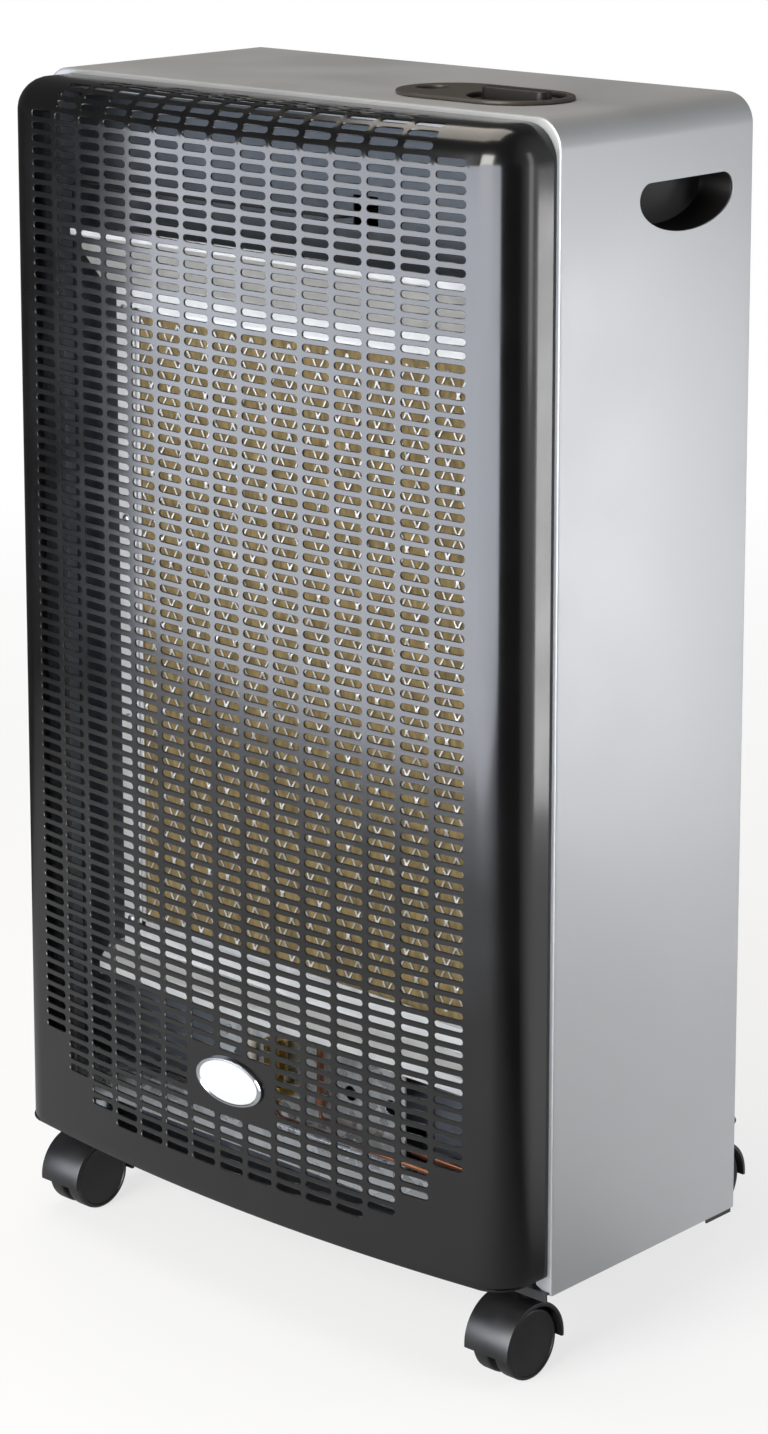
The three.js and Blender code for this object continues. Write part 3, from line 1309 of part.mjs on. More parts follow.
function makeRearCover() {
  const bottom = TRAY_TOP + SEAT_GAP;
  const front = SHELL_DEPTH + SEAT_GAP;
  const flangeBack = front + REAR_COVER_SHEET;
  const inner = REAR_COVER_RADIUS - REAR_COVER_SHEET;
  const innerStart = Math.asin((front - BOTTLE_AXIS_Y) / inner);
  const outerStart = Math.asin((flangeBack - BOTTLE_AXIS_Y) / REAR_COVER_RADIUS);
  const plan = new THREE.Shape();
  plan.moveTo(REAR_COVER_HALF_WIDTH, front);
  plan.lineTo(REAR_COVER_HALF_WIDTH, flangeBack);
  plan.lineTo(REAR_COVER_RADIUS * Math.cos(outerStart), flangeBack);
  plan.absarc(0, BOTTLE_AXIS_Y, REAR_COVER_RADIUS, outerStart, Math.PI - outerStart);
  plan.lineTo(-REAR_COVER_HALF_WIDTH, flangeBack);
  plan.lineTo(-REAR_COVER_HALF_WIDTH, front);
  plan.lineTo(-inner * Math.cos(innerStart), front);
  plan.absarc(0, BOTTLE_AXIS_Y, inner, Math.PI - innerStart, innerStart, true);
  plan.closePath();
  const wall = raised(plan, bottom, REAR_DRUM_TOP, 20);
  const above = block(
    [-REAR_COVER_HALF_WIDTH, front, REAR_DRUM_TOP - REAR_COVER_SHEET],
    [REAR_COVER_HALF_WIDTH, flangeBack, REAR_COVER_TOP],
  );
  const lid = new THREE.Shape();
  lid.moveTo(REAR_COVER_RADIUS * Math.cos(outerStart), flangeBack);
  lid.absarc(0, BOTTLE_AXIS_Y, REAR_COVER_RADIUS, outerStart, Math.PI - outerStart);
  lid.closePath();
  const cap = raised(lid, REAR_DRUM_TOP - REAR_COVER_SHEET, REAR_DRUM_TOP, 20);
  const vents = [];
  const levels = [bottom + 2 * REAR_VENT_PITCH, REAR_DRUM_TOP - (REAR_VENTS + 2) * REAR_VENT_PITCH];
  for (const level of levels)
    for (let row = 0; row < REAR_VENTS; row++) {
      const z = level + row * REAR_VENT_PITCH;
      vents.push(
        block(
          [-REAR_VENT_LENGTH / 2, BOTTLE_AXIS_Y + REAR_COVER_RADIUS / 2, z],
          [REAR_VENT_LENGTH / 2, REAR_REACH + CUT_REACH, z + REAR_VENT_HEIGHT],
        ),
      );
    }
  const reliefs = [-1, 1].map((side) => {
    const x = side * REAR_CASTOR.x;
    const around = SOCKET_RADIUS + CASTOR_HOOD_WALL;
    return block(
      [x - around, REAR_CASTOR.y - 2 * around, bottom - CUT_REACH],
      [x + around, REAR_CASTOR.y + 2 * around, TRAY_TOP + STEM_RISE + CASTOR_HOOD_WALL],
    );
  });
  return cut(join(wall, cap, above), ...vents, ...reliefs);
}

housing.add(meshOf("rear_cover", makeRearCover(), blackPaint()));

// ---------------------------------------------------------------- castors

// Castor pieces stand in a frame of their own: the stem's axis is x = y = 0 and the floor is z = 0.
const WHEEL_INNER_X = CASTOR_WEB / 2 + SEAT_GAP;
const WHEEL_OUTER_X = WHEEL_INNER_X + WHEEL_WIDTH;
const SOCKET_BOTTOM = CASTOR_HEIGHT + TRAY_LIFT - SEAT_GAP - SOCKET_FLANGE_THICKNESS;
const BOSS_TOP = SOCKET_BOTTOM - SEAT_GAP;
const AXLE_END_X = WHEEL_OUTER_X - 2 * WHEEL_EDGE;

function makeCastorHood() {
  const y = -CASTOR_TRAIL;
  const half = CASTOR_WIDTH / 2;
  const drum = rodX(CASTOR_HOOD_RADIUS, y, WHEEL_RADIUS, -half, half, CASTOR_FACETS);
  const below = block(
    [-CASTOR_WIDTH, y - 2 * CASTOR_HOOD_RADIUS, -CUT_REACH],
    [CASTOR_WIDTH, y + 2 * CASTOR_HOOD_RADIUS, WHEEL_RADIUS - CASTOR_HOOD_DROP],
  );
  const boss = rodZ(BOSS_RADIUS, 0, 0, WHEEL_RADIUS + CASTOR_HOOD_DROP, BOSS_TOP, 16);
  const clear = CASTOR_HOOD_RADIUS - CASTOR_HOOD_WALL;
  const wheelSpaces = [-1, 1].map((side) => {
    const inner = (side * CASTOR_WEB) / 2;
    const outer = side * CASTOR_WIDTH;
    const [low, high] = [Math.min(inner, outer), Math.max(inner, outer)];
    return rodX(clear, y, WHEEL_RADIUS, low, high, CASTOR_FACETS);
  });
  const hub = rodX(AXLE_RADIUS * 2, y, WHEEL_RADIUS, -CASTOR_WEB / 2, CASTOR_WEB / 2, 12);
  const axleHole = rodX(AXLE_RADIUS + SEAT_GAP, y, WHEEL_RADIUS, -half, half, 10);
  const stemHole = rodZ(STEM_RADIUS + SEAT_GAP, 0, 0, BOSS_TOP - STEM_SINK, BOSS_TOP + CUT_REACH, 12);
  const hood = cut(join(cut(drum, below), boss), ...wheelSpaces);
  return cut(join(hood, hub), axleHole, stemHole);
}

// One wheel with its bore open towards the middle of the castor, to the right of it.
function makeWheel() {
  const sides = WHEEL_FACETS;
  const halfFacet = 180 / sides;
  const tread = WHEEL_RADIUS / Math.cos(Math.PI / sides); // so that it stands on a whole facet
  const bore = AXLE_RADIUS + SEAT_GAP;
  const profile = [
    [0, AXLE_END_X + SEAT_GAP],
    [bore, AXLE_END_X + SEAT_GAP],
    [bore, WHEEL_INNER_X],
    [tread - WHEEL_EDGE, WHEEL_INNER_X],
    [tread, WHEEL_INNER_X + WHEEL_EDGE],
    [tread, WHEEL_OUTER_X - WHEEL_EDGE],
    [tread - WHEEL_EDGE, WHEEL_OUTER_X],
    [0, WHEEL_OUTER_X],
  ];
  const upright = turned(profile, sides).rotate([0, 0, halfFacet]).rotate([0, 90, 0]);
  return upright.translate([0, -CASTOR_TRAIL, WHEEL_RADIUS]);
}

function makeStem() {
  const bottom = BOSS_TOP - STEM_SINK + SEAT_GAP;
  return rodZ(STEM_RADIUS, 0, 0, bottom, CASTOR_HEIGHT + TRAY_TOP + STEM_RISE, 12);
}

function makeSocket() {
  const inner = STEM_RADIUS + SEAT_GAP;
  const flange = SOCKET_RADIUS + SOCKET_FLANGE;
  const top = CASTOR_HEIGHT + TRAY_TOP + STEM_RISE;
  return turned(
    [
      [inner, SOCKET_BOTTOM],
      [flange, SOCKET_BOTTOM],
      [flange, SOCKET_BOTTOM + SOCKET_FLANGE_THICKNESS],
      [SOCKET_RADIUS, SOCKET_BOTTOM + SOCKET_FLANGE_THICKNESS],
      [SOCKET_RADIUS, top],
      [inner, top],
      [inner, SOCKET_BOTTOM],
    ],
    12,
  );
}

for (const [place, [x, y]] of Object.entries(castorPlaces)) {
  const castor = new THREE.Group();
  castor.position.set(x, SEAM_Y + y, 0);
  castor.add(
    meshOf(`castor_socket_${place}`, makeSocket(), steel()),
    meshOf(`castor_stem_${place}`, makeStem(), steel()),
    meshOf(`castor_hood_${place}`, makeCastorHood(), blackPlastic()),
    meshOf(
      `castor_axle_${place}`,
      rodX(AXLE_RADIUS, -CASTOR_TRAIL, WHEEL_RADIUS, -AXLE_END_X, AXLE_END_X, 10),
      steel(),
    ),
    meshOf(`castor_wheel_right_${place}`, makeWheel(), blackPlastic()),
    meshOf(`castor_wheel_left_${place}`, makeWheel().mirror([1, 0, 0]), blackPlastic()),
  );
  heater.add(castor);
}

export default heater;
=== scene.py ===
import json
import math

import bmesh
import bpy
from mathutils import Matrix, Vector

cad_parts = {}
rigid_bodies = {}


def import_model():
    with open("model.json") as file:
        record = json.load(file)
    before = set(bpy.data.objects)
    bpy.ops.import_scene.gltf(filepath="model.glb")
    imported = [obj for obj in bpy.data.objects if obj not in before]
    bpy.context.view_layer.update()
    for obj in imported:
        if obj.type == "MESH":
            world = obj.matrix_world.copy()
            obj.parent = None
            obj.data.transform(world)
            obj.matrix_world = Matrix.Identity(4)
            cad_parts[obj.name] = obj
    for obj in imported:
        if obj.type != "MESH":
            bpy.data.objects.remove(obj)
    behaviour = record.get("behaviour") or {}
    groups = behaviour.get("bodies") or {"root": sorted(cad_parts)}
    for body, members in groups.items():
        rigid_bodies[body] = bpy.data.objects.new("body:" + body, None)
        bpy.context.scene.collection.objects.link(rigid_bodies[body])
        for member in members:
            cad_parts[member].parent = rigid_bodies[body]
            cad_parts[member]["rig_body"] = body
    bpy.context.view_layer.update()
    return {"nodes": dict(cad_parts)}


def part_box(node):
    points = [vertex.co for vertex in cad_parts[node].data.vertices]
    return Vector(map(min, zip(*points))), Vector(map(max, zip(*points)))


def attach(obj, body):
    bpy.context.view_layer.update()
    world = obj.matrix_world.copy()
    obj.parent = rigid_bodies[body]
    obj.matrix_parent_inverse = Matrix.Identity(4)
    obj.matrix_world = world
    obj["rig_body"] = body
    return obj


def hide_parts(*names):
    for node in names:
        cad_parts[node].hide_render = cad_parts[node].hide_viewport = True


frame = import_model()

# ------------------------------------------------------------------ camera
# The photograph is taken from the right and a little above, with its upright lines kept nearly
# parallel by a raised lens, so the camera has some shift.

MM = 0.001
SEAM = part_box("cabinet_shell")[0].y  # where the cover meets the cabinet
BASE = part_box("cabinet_shell")[0].z  # the cabinet's lower edge


def place(x, y, z):
    """A point given in millimetres from the middle, the seam and the cabinet's lower edge."""
    return Vector((x * MM, SEAM + y * MM, BASE + z * MM))


def direction(azimuth, elevation):
    a, e = math.radians(azimuth), math.radians(elevation)
    return Vector((math.sin(a) * math.cos(e), -math.cos(a) * math.cos(e), math.sin(e)))


IMAGE_HEIGHT = 1434
CAMERA_AZIMUTH = 42.53
CAMERA_ELEVATION = 10.51
CAMERA_DISTANCE = 2.2591
CAMERA_ASIDE = 0.0573
CAMERA_ABOVE = 0.1946
CAMERA_SHIFT = -0.25
FOCAL_PIXELS = 3686.4
TARGET_HEIGHT = 340


def placed(name, data):
    """A new object in the scene."""
    obj = bpy.data.objects.new(name, data)
    bpy.context.scene.collection.objects.link(obj)
    return obj


back = direction(CAMERA_AZIMUTH, CAMERA_ELEVATION)
right = direction(CAMERA_AZIMUTH + 90, 0)
above = back.cross(right)
camera_data = bpy.data.cameras.new("camera")
camera_data.sensor_width = 36
camera_data.lens = FOCAL_PIXELS * camera_data.sensor_width / IMAGE_HEIGHT
camera_data.shift_y = CAMERA_SHIFT
camera_data.clip_end = 60
camera = placed("camera", camera_data)
stand = place(0, 0, TARGET_HEIGHT) + back * CAMERA_DISTANCE + right * CAMERA_ASIDE + above * CAMERA_ABOVE
camera.matrix_world = Matrix.Translation(stand) @ Matrix((right, above, back)).transposed().to_4x4()
bpy.context.scene.camera = camera
bpy.context.scene.view_settings.view_transform = "Standard"

# ------------------------------------------------------------------ studio
# A white background and a pale floor. Soft boxes stand in front, above and on the right, a narrow one near
# the cover draws the bright strip down its side wall, and the black enamel mirrors a long low card.


def node(tree, kind, inputs=(), **settings):
    """Adds one node with its settings. An input is a value, or a node or output to link."""
    made = tree.nodes.new(kind)
    for name, value in settings.items():
        setattr(made, name, value)
    for name, value in inputs.items() if isinstance(inputs, dict) else enumerate(inputs):
        if isinstance(value, bpy.types.Node):
            value = value.outputs[0]
        if isinstance(value, bpy.types.NodeSocket):
            tree.links.new(value, made.inputs[name])
        else:
            made.inputs[name].default_value = value
    return made


def linear(code):
    """An sRGB hex colour as linear RGBA."""
    parts = [int(code[i : i + 2], 16) / 255 for i in (1, 3, 5)]
    curve = [c / 12.92 if c <= 0.04045 else ((c + 0.055) / 1.055) ** 2.4 for c in parts]
    return (*curve, 1)


def by_ray(tree, share, lit, seen, mirrored):
    """Mixes what lights the room with the camera's share, and gives shiny surfaces what they mirror."""
    ray = node(tree, "ShaderNodeLightPath").outputs
    plain = node(tree, "ShaderNodeMixShader", (share, lit, seen))
    rays = ray["Is Glossy Ray"], ray["Is Transmission Ray"]
    shiny = node(tree, "ShaderNodeMath", rays, operation="MAXIMUM")
    return node(tree, "ShaderNodeMixShader", (shiny, plain, mirrored))


# The backdrop is white for the camera. Shiny surfaces mirror its white only behind and to the right of
# the heater, because the room in front is dark.
BACKDROP = direction(128, 5)
WHITE = (1, 1, 1, 1)
world = bpy.data.worlds.new("studio")
bpy.context.scene.world = world
world.use_nodes = True
tree = world.node_tree
tree.nodes.clear()
looks = node(tree, "ShaderNodeTexCoord").outputs["Generated"]
toward = node(tree, "ShaderNodeVectorMath", (looks, BACKDROP), operation="DOT_PRODUCT")
bright = node(tree, "ShaderNodeMapRange", (toward.outputs["Value"], 0.5, 0.97, 0.08, 0.42))
mirrored = node(tree, "ShaderNodeBackground", (WHITE, bright))
white = node(tree, "ShaderNodeBackground", (WHITE, 1.0))
lit = node(tree, "ShaderNodeBackground", (linear("#f2f3f5"), 0.3))
by_camera = node(tree, "ShaderNodeLightPath").outputs["Is Camera Ray"]
node(tree, "ShaderNodeOutputWorld", [by_ray(tree, by_camera, lit, white, mirrored)])


def soft_box(name, watts, size, azimuth, distance, height, colour, aim=0.4, card=False):
    """A light that faces the heater and isn't seen; a card only shows in glossy surfaces."""
    data = bpy.data.lights.new(name, "AREA")
    data.shape = "RECTANGLE"
    data.energy = watts
    data.size, data.size_y = size
    data.color = linear(colour)[:3]
    light = placed(name, data)
    light.location = direction(azimuth, 0) * distance + Vector((0, 0, height))
    light.rotation_mode = "QUATERNION"
    light.rotation_quaternion = (light.location - Vector((0, 0, aim))).to_track_quat("Z", "Y")
    light.visible_camera = False
    light.visible_diffuse = not card


soft_box("light_front", 80, (1.7, 1.4), 2, 2.7, 1.2, "#fffdf8")
soft_box("light_above", 18, (1.4, 1.2), -80, 0.4, 2.2, "#fff6ea")
soft_box("light_right", 5, (0.5, 1.5), 112, 2.3, 0.9, "#f8faff")
soft_box("light_side_strip", 0.62, (0.07, 0.46), 117, 0.668, 0.4, "#ffffff")
soft_box("card_low_front", 34, (2.5, 0.62), -6, 1.3, 0.32, "#eff4ff", 0.32, True)

# The floor fades into the background. Shiny surfaces mirror it only below the backdrop and in a pool of
# light in front of the heater; a ramp holds a measure's range and the strengths at its ends.
FLOOR_REACH = 40
POOL = direction(-14, 0)
floor_mesh = bpy.data.meshes.new("floor")
corners = [(x * FLOOR_REACH, y * FLOOR_REACH, 0) for x, y in ((-1, -1), (1, -1), (1, 1), (-1, 1))]
floor_mesh.from_pydata(corners, [], [(0, 1, 2, 3)])
floor = placed("floor", floor_mesh)
pale = bpy.data.materials.new("white studio floor")
pale.use_nodes = True
tree = pale.node_tree
tree.nodes.clear()
dull = node(tree, "ShaderNodeBsdfDiffuse", [linear("#fbfbfb")])
glow = node(tree, "ShaderNodeEmission", (WHITE, 1.0))
spot = node(tree, "ShaderNodeNewGeometry").outputs["Position"]
far = node(tree, "ShaderNodeVectorMath", [spot], operation="LENGTH").outputs["Value"]
share = node(tree, "ShaderNodeMapRange", (far, 0.6, 2.2, 0.72, 1.0))
by_camera = node(tree, "ShaderNodeLightPath").outputs["Is Camera Ray"]
share = node(tree, "ShaderNodeMath", (share, by_camera), operation="MULTIPLY")
way = node(tree, "ShaderNodeVectorMath", [spot], operation="NORMALIZE")
toward = node(tree, "ShaderNodeVectorMath", (way, BACKDROP), operation="DOT_PRODUCT").outputs["Value"]
aside = node(tree, "ShaderNodeVectorMath", (spot, POOL), operation="DISTANCE").outputs["Value"]
ramps = (toward, 0.72, 0.95, 0.05, 0.75), (aside, 0.7, 1.2, 0.55, 0.05)
strengths = [node(tree, "ShaderNodeMapRange", ramp) for ramp in ramps]
bright = node(tree, "ShaderNodeMath", strengths, operation="MAXIMUM")
mirrored = node(tree, "ShaderNodeEmission", (WHITE, bright))
node(tree, "ShaderNodeOutputMaterial", [by_ray(tree, share, dull, glow, mirrored)])
floor_mesh.materials.append(pale)

# ------------------------------------------------------------------ cabinet
# One steel sheet bent over both top edges, with flanges behind the cover and round the rear opening, a
# half-moon hole in each side and one for the controls in the top. It is sprayed in satin silver.


def surface(
    name, colour, roughness, metallic=0.0, coat=0.0, tint=0.05, patch=60, spread=0.04, grain=1.0,
    relief=0.01, spangle=None, stretch=(1, 1, 1),
):
    """A finish with patches of tint and gloss and a fine grain in relief; sizes are in millimetres."""
    material = bpy.data.materials.new(name)
    material.use_nodes = True
    tree = material.node_tree
    shader = tree.nodes["Principled BSDF"].inputs
    shader["Metallic"].default_value = metallic
    shader["Coat Weight"].default_value = coat
    shader["Coat Roughness"].default_value = 0.1
    where = node(tree, "ShaderNodeTexCoord").outputs["Object"]
    scaled = node(tree, "ShaderNodeMapping", {"Vector": where, "Scale": stretch})
    if spangle:
        cells = {"Vector": scaled, "Scale": 1 / (spangle * MM)}
        source = node(tree, "ShaderNodeTexVoronoi", cells).outputs["Color"]
    else:
        patches = {"Vector": scaled, "Scale": 1 / (patch * MM), "Detail": 4.0}
        source = node(tree, "ShaderNodeTexNoise", patches).outputs["Fac"]
    low, high = 0.3, 0.7  # the patterns seldom leave this range
    ramp = node(tree, "ShaderNodeValToRGB", [source])
    for element, position, change in zip(ramp.color_ramp.elements, (low, high), (1 - tint, 1 + tint)):
        element.position = position
        element.color = (*[min(1, c * change) for c in linear(colour)[:3]], 1)
    levels = (source, low, high, max(0.03, roughness - spread), roughness + spread)
    gloss = node(tree, "ShaderNodeMapRange", levels)
    grains = {"Vector": scaled, "Scale": 1 / (grain * MM), "Detail": 3.0}
    fine = node(tree, "ShaderNodeTexNoise", grains).outputs["Fac"]
    bump = node(tree, "ShaderNodeBump", {"Strength": 1.0, "Distance": relief * MM, "Height": fine})
    for label, made in (("Base Color", ramp), ("Roughness", gloss), ("Normal", bump)):
        tree.links.new(made.outputs[0], shader[label])
    return material


def tidy_mesh(obj, sharp=35):
    """Welds an object's mesh, turns its faces outward and rounds its shading below an angle."""
    welded = bmesh.new()
    welded.from_mesh(obj.data)
    bmesh.ops.remove_doubles(welded, verts=welded.verts, dist=1e-6)
    bmesh.ops.recalc_face_normals(welded, faces=welded.faces)
    welded.to_mesh(obj.data)
    welded.free()
    obj.data.polygons.foreach_set("use_smooth", [True] * len(obj.data.polygons))
    obj.data.set_sharp_from_angle(angle=math.radians(sharp))


def mesh_object(name, vertices, faces, material, sharp=35):
    mesh = bpy.data.meshes.new(name)
    mesh.from_pydata([tuple(v) for v in vertices], [], faces)
    mesh.materials.append(material)
    obj = placed(name, mesh)
    tidy_mesh(obj, sharp)
    return obj


def applied(obj):
    """The object as a plain mesh, with its modifiers applied."""
    graph = bpy.context.evaluated_depsgraph_get()
    graph.update()
    mesh = bpy.data.meshes.new_from_object(obj.evaluated_get(graph))
    obj.modifiers.clear()
    obj.data = mesh
    return obj


def baked(obj, sharp=35):
    tidy_mesh(applied(obj), sharp)
    return obj


def thickened(obj, thickness, sharp=35):
    """Gives a bent face the thickness of its sheet, in millimetres."""
    sheet = obj.modifiers.new("sheet", "SOLIDIFY")
    sheet.thickness = thickness * MM
    sheet.offset = -1
    return baked(obj, sharp)


def softened(obj, width, segments=2, angle=35):
    """Rounds the object's sharp edges by a radius in millimetres; the large faces keep even shading."""
    bevel = obj.modifiers.new("edges", "BEVEL")
    bevel.width = width * MM
    bevel.segments = segments
    bevel.limit_method = "ANGLE"
    bevel.angle_limit = math.radians(angle)
    baked(obj, 25)
    obj.modifiers.new("shading", "WEIGHTED_NORMAL").keep_sharp = True
    return applied(obj)


def cut_by(obj, *cutters):
    """Takes the cutters' space out of the object."""
    for cutter in cutters:
        modifier = obj.modifiers.new("cut", "BOOLEAN")
        modifier.operation = "DIFFERENCE"
        modifier.solver = "EXACT"
        modifier.object = cutter
        baked(obj)
        bpy.data.objects.remove(cutter)
    return obj


def skin(starts, count, closed=True):
    """Faces between rings of as many points, whose numbers begin at the given starts."""
    faces = []
    for a, b in zip(starts, starts[1:]):
        for i in range(count if closed else count - 1):
            j = (i + 1) % count
            faces.append((a + i, a + j, b + j, b + i))
    return faces


def prism(name, outline, low, high, axis, material):
    """An outline in millimetres made thick along x, y or z."""
    count = len(outline)
    vertices = []
    for level in (low, high):
        for a, b in outline:
            vertices.append(place(*{"x": (level, a, b), "y": (a, level, b), "z": (a, b, level)}[axis]))
    ends = [tuple(range(count)), tuple(range(2 * count - 1, count - 1, -1))]
    return mesh_object(name, vertices, ends + skin((0, count), count), material)


def arc(cx, cy, rx, ry, start, end, steps):
    """Points on part of an ellipse; the angles are in degrees."""
    angles = [math.radians(start + (end - start) * i / steps) for i in range(steps + 1)]
    return [(cx + rx * math.cos(a), cy + ry * math.sin(a)) for a in angles]


def stadium(cx, cy, length, width, steps=24):
    half, radius = (length - width) / 2, width / 2
    right_end = arc(cx + half, cy, radius, radius, -90, 90, steps)
    return right_end + arc(cx - half, cy, radius, radius, 90, 270, steps)


def dress(obj, body, slot, *replaced):
    """Sets the piece on the body it rides on and hides the imported parts it stands for. The slot is not
    used.
    """
    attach(obj, body)
    if replaced:
        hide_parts(*replaced)
    return obj


# Satin metallic spray paint: fine flakes give a soft sheen that brightens towards the light.
silver_paint = surface(
    "satin silver metallic paint", "#bfc1c4", 0.42, 0.6, tint=0.02, patch=90, grain=0.5, relief=0.003
)

SHELL_HALF = 212.0
SHELL_HEIGHT = 700.0
SHELL_DEPTH = 178.0
SHELL_BEND = 18.0
SHELL_SHEET = 1.2
FLANGE_BEND = 1.6
FLANGE_START = 4.0
GRIP_Y = 115.0
GRIP_TOP = 656.0
BEZEL_X, BEZEL_Y = 105.0, 58.0
CONTROL_HOLE = (111.6, 62.6)
CUT_LOW, CUT_HIGH = SHELL_HEIGHT - 10, SHELL_HEIGHT + 10  # cutters through the top


def wrap_path(offset, bottom, steps=14):
    half, top = SHELL_HALF - offset, SHELL_HEIGHT - offset
    radius = max(SHELL_BEND - offset, 0.8)
    path = [(half, bottom), *arc(half - radius, top - radius, radius, radius, 0, 90, steps)]
    return [*path, *arc(-half + radius, top - radius, radius, radius, 90, 180, steps), (-half, bottom)]


def grip_outline(offset, steps=10):
    """The half-moon of a hand grip, grown by an offset: a flat top and a deep round lower edge."""
    half, top, corner = 44.0 + offset, GRIP_TOP + offset, 10.0 + offset
    outline = arc(GRIP_Y + half - corner, top - corner, corner, corner, 0, 90, steps)
    outline += arc(GRIP_Y - half + corner, top - corner, corner, corner, 90, 180, steps)
    return outline + arc(GRIP_Y, GRIP_TOP - 10, half, 21.0 + offset, 180, 360, 3 * steps)[1:-1]


profile = [(12.0, 0), (FLANGE_BEND, 0), (0.45, 0.45), (0, FLANGE_BEND), (0, SHELL_DEPTH - FLANGE_BEND)]
profile += [(0.45, SHELL_DEPTH - 0.45), (FLANGE_BEND, SHELL_DEPTH), (16.0, SHELL_DEPTH)]
vertices = []
for offset, y in profile:
    line = wrap_path(offset, FLANGE_START if offset > FLANGE_BEND else 0.0)
    vertices += [place(x, y, z) for x, z in line]
faces = skin(range(0, len(vertices), len(line)), len(line), False)
cabinet = thickened(mesh_object("cabinet_sheet", vertices, faces, silver_paint), SHELL_SHEET)
cut_by(
    cabinet,
    prism("grip_holes", grip_outline(0), -SHELL_HALF - 28, SHELL_HALF + 28, "x", silver_paint),
    prism("control_hole", stadium(BEZEL_X, BEZEL_Y, *CONTROL_HOLE), CUT_LOW, CUT_HIGH, "z", silver_paint),
)
softened(cabinet, 0.28, 2, 50)
dress(cabinet, "cabinet", "silver_paint", "cabinet_shell")

# ------------------------------------------------------------------ hand grips
# A moulded half-moon cup stands behind the hole in each side, so that fingers meet smooth plastic. Its
# flange lies against the sheet.

# Moulded ABS with a fine grain: matt, with a faint sheen on its edges.
black_abs = surface("fine-grained black ABS", "#1d1b1a", 0.46, tint=0.1, grain=0.35, relief=0.02)

CUP_MOUTH = SHELL_HALF - SHELL_SHEET - 0.3
CUP_DEPTH = 26.0
CUP_WALL = 1.6
CUP_FLOOR = CUP_DEPTH - CUP_WALL
CUP_INSIDE = [(6.0, 0), (0.9, 0), (0.3, 0.35), (0.0, 1.2), (0.0, CUP_FLOOR - 4), (-1.2, CUP_FLOOR - 1.2)]
CUP_INSIDE += [(-4.0, CUP_FLOOR)]
CUP_OUTSIDE = [(6.0, CUP_WALL), (CUP_WALL, CUP_WALL), (CUP_WALL, CUP_DEPTH - 4), (0.4, CUP_DEPTH - 1.2)]
CUP_OUTSIDE += [(-2.4, CUP_DEPTH)]
for side, word in ((1, "right"), (-1, "left")):
    vertices = []
    for offset, depth in CUP_INSIDE + CUP_OUTSIDE:
        vertices += [place(side * (CUP_MOUTH - depth), y, z) for y, z in grip_outline(offset)]
    count = len(grip_outline(0))
    outside, end = len(CUP_INSIDE) * count, len(vertices)
    faces = skin(range(0, outside, count), count) + skin(range(outside, end, count), count)
    faces += skin((0, outside), count)
    faces += [tuple(range(outside - count, outside)), tuple(range(end - count, end))]
    cup = mesh_object(f"grip_cup_moulding_{word}", vertices, faces, black_abs, 40)
    dress(cup, "cabinet", "black_plastic", f"grip_cup_{word}")

# ------------------------------------------------------------------ sheet pieces inside
# The partition, burner frame, pan, rails, hood, shelf and brackets are folded from thin sheet with a coat
# of zinc or aluminium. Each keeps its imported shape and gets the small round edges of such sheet.


def worked_copy(name, material, slot, edge=0.25):
    """A piece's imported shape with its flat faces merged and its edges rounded."""
    source = frame["nodes"][name]
    obj = placed(f"{name}_piece", source.data.copy())
    obj.data.materials.clear()
    obj.data.materials.append(material)
    merged = bmesh.new()
    merged.from_mesh(obj.data)
    bmesh.ops.remove_doubles(merged, verts=merged.verts, dist=1e-6)
    bmesh.ops.dissolve_limit(merged, angle_limit=math.radians(1), verts=merged.verts, edges=merged.edges)
    for face in merged.faces:
        face.material_index = 0
    merged.to_mesh(obj.data)
    merged.free()
    softened(obj, edge, 2, 40)
    return dress(obj, source["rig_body"], slot, name)


# Hot-dipped zinc with spangle: bright, patchy grains about 7 mm across.
galvanised = surface(
    "galvanised steel", "#c4c8cc", 0.34, metallic=0.8, tint=0.07, spread=0.07, spangle=7, relief=0.01
)
# Aluminium-coated steel next to the heat: pale, matt and almost without grain.
aluminised = surface(
    "aluminium-coated steel", "#eceeef", 0.5, metallic=0.35, tint=0.03, patch=30, relief=0.01
)
# Galvanised sheet in a darker grey, with fainter spangle: the dark grey is painted shade for the
# partition, which lies unlit deep inside the cabinet.
shade_darkened_zinc = surface(
    "galvanised steel darkened as painted shade", "#5d636a", 0.5, metallic=0.7, tint=0.05, spangle=8, relief=0.01
)
# Ceramic fibre blanket behind the pad: matt off-white and slightly fluffy.
fibre = surface("white ceramic fibre", "#e3dfd4", 0.95, tint=0.08, patch=10, relief=0.3)
# Catalytic pad: a golden-brown felt of coated fibre with long streaks.
catalyst = surface(
    "golden-brown catalyst fibre", "#9a875b", 0.92, tint=0.4, patch=4, grain=1.1, relief=0.5,
    stretch=(1, 1, 0.4),
)
# The partition takes the darker grey, which is painted shade, not a real dulling of the zinc.
worked_copy("partition_panel", shade_darkened_zinc, "galvanised_sheet")
for name in ("heat_hood", "burner_frame", "burner_shelf"):
    worked_copy(name, aluminised, "galvanised_sheet")
rails = ("burner_rail_right", "burner_rail_left", "cross_rail")
for name in ("burner_pan", *rails, "pilot_plate", "valve_bracket"):
    worked_copy(name, galvanised, "galvanised_sheet")
worked_copy("insulation_mat", fibre, "insulating_fibre", 0.8)
worked_copy("catalytic_pad", catalyst, "catalyst_pad", 1.2)

# ------------------------------------------------------------------ mesh guard
# Expanded metal in front of the pad: a slit and stretched bright sheet whose thin twisted strands meet
# in wider knuckles. Four flat bars frame it.

# Bright rolled steel: each strand is twisted out of the sheet's plane and catches the light.
bright_steel = surface(
    "bright expanded steel", "#e4e6e8", 0.34, metallic=0.6, tint=0.08, patch=8, relief=0.01
)

DIAMOND_WIDTH = 16.1
DIAMOND_HEIGHT = 28.0
GUARD_EDGE = 5.0
STRAND_HALF = 0.3
guard_low, guard_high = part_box("mesh_guard")


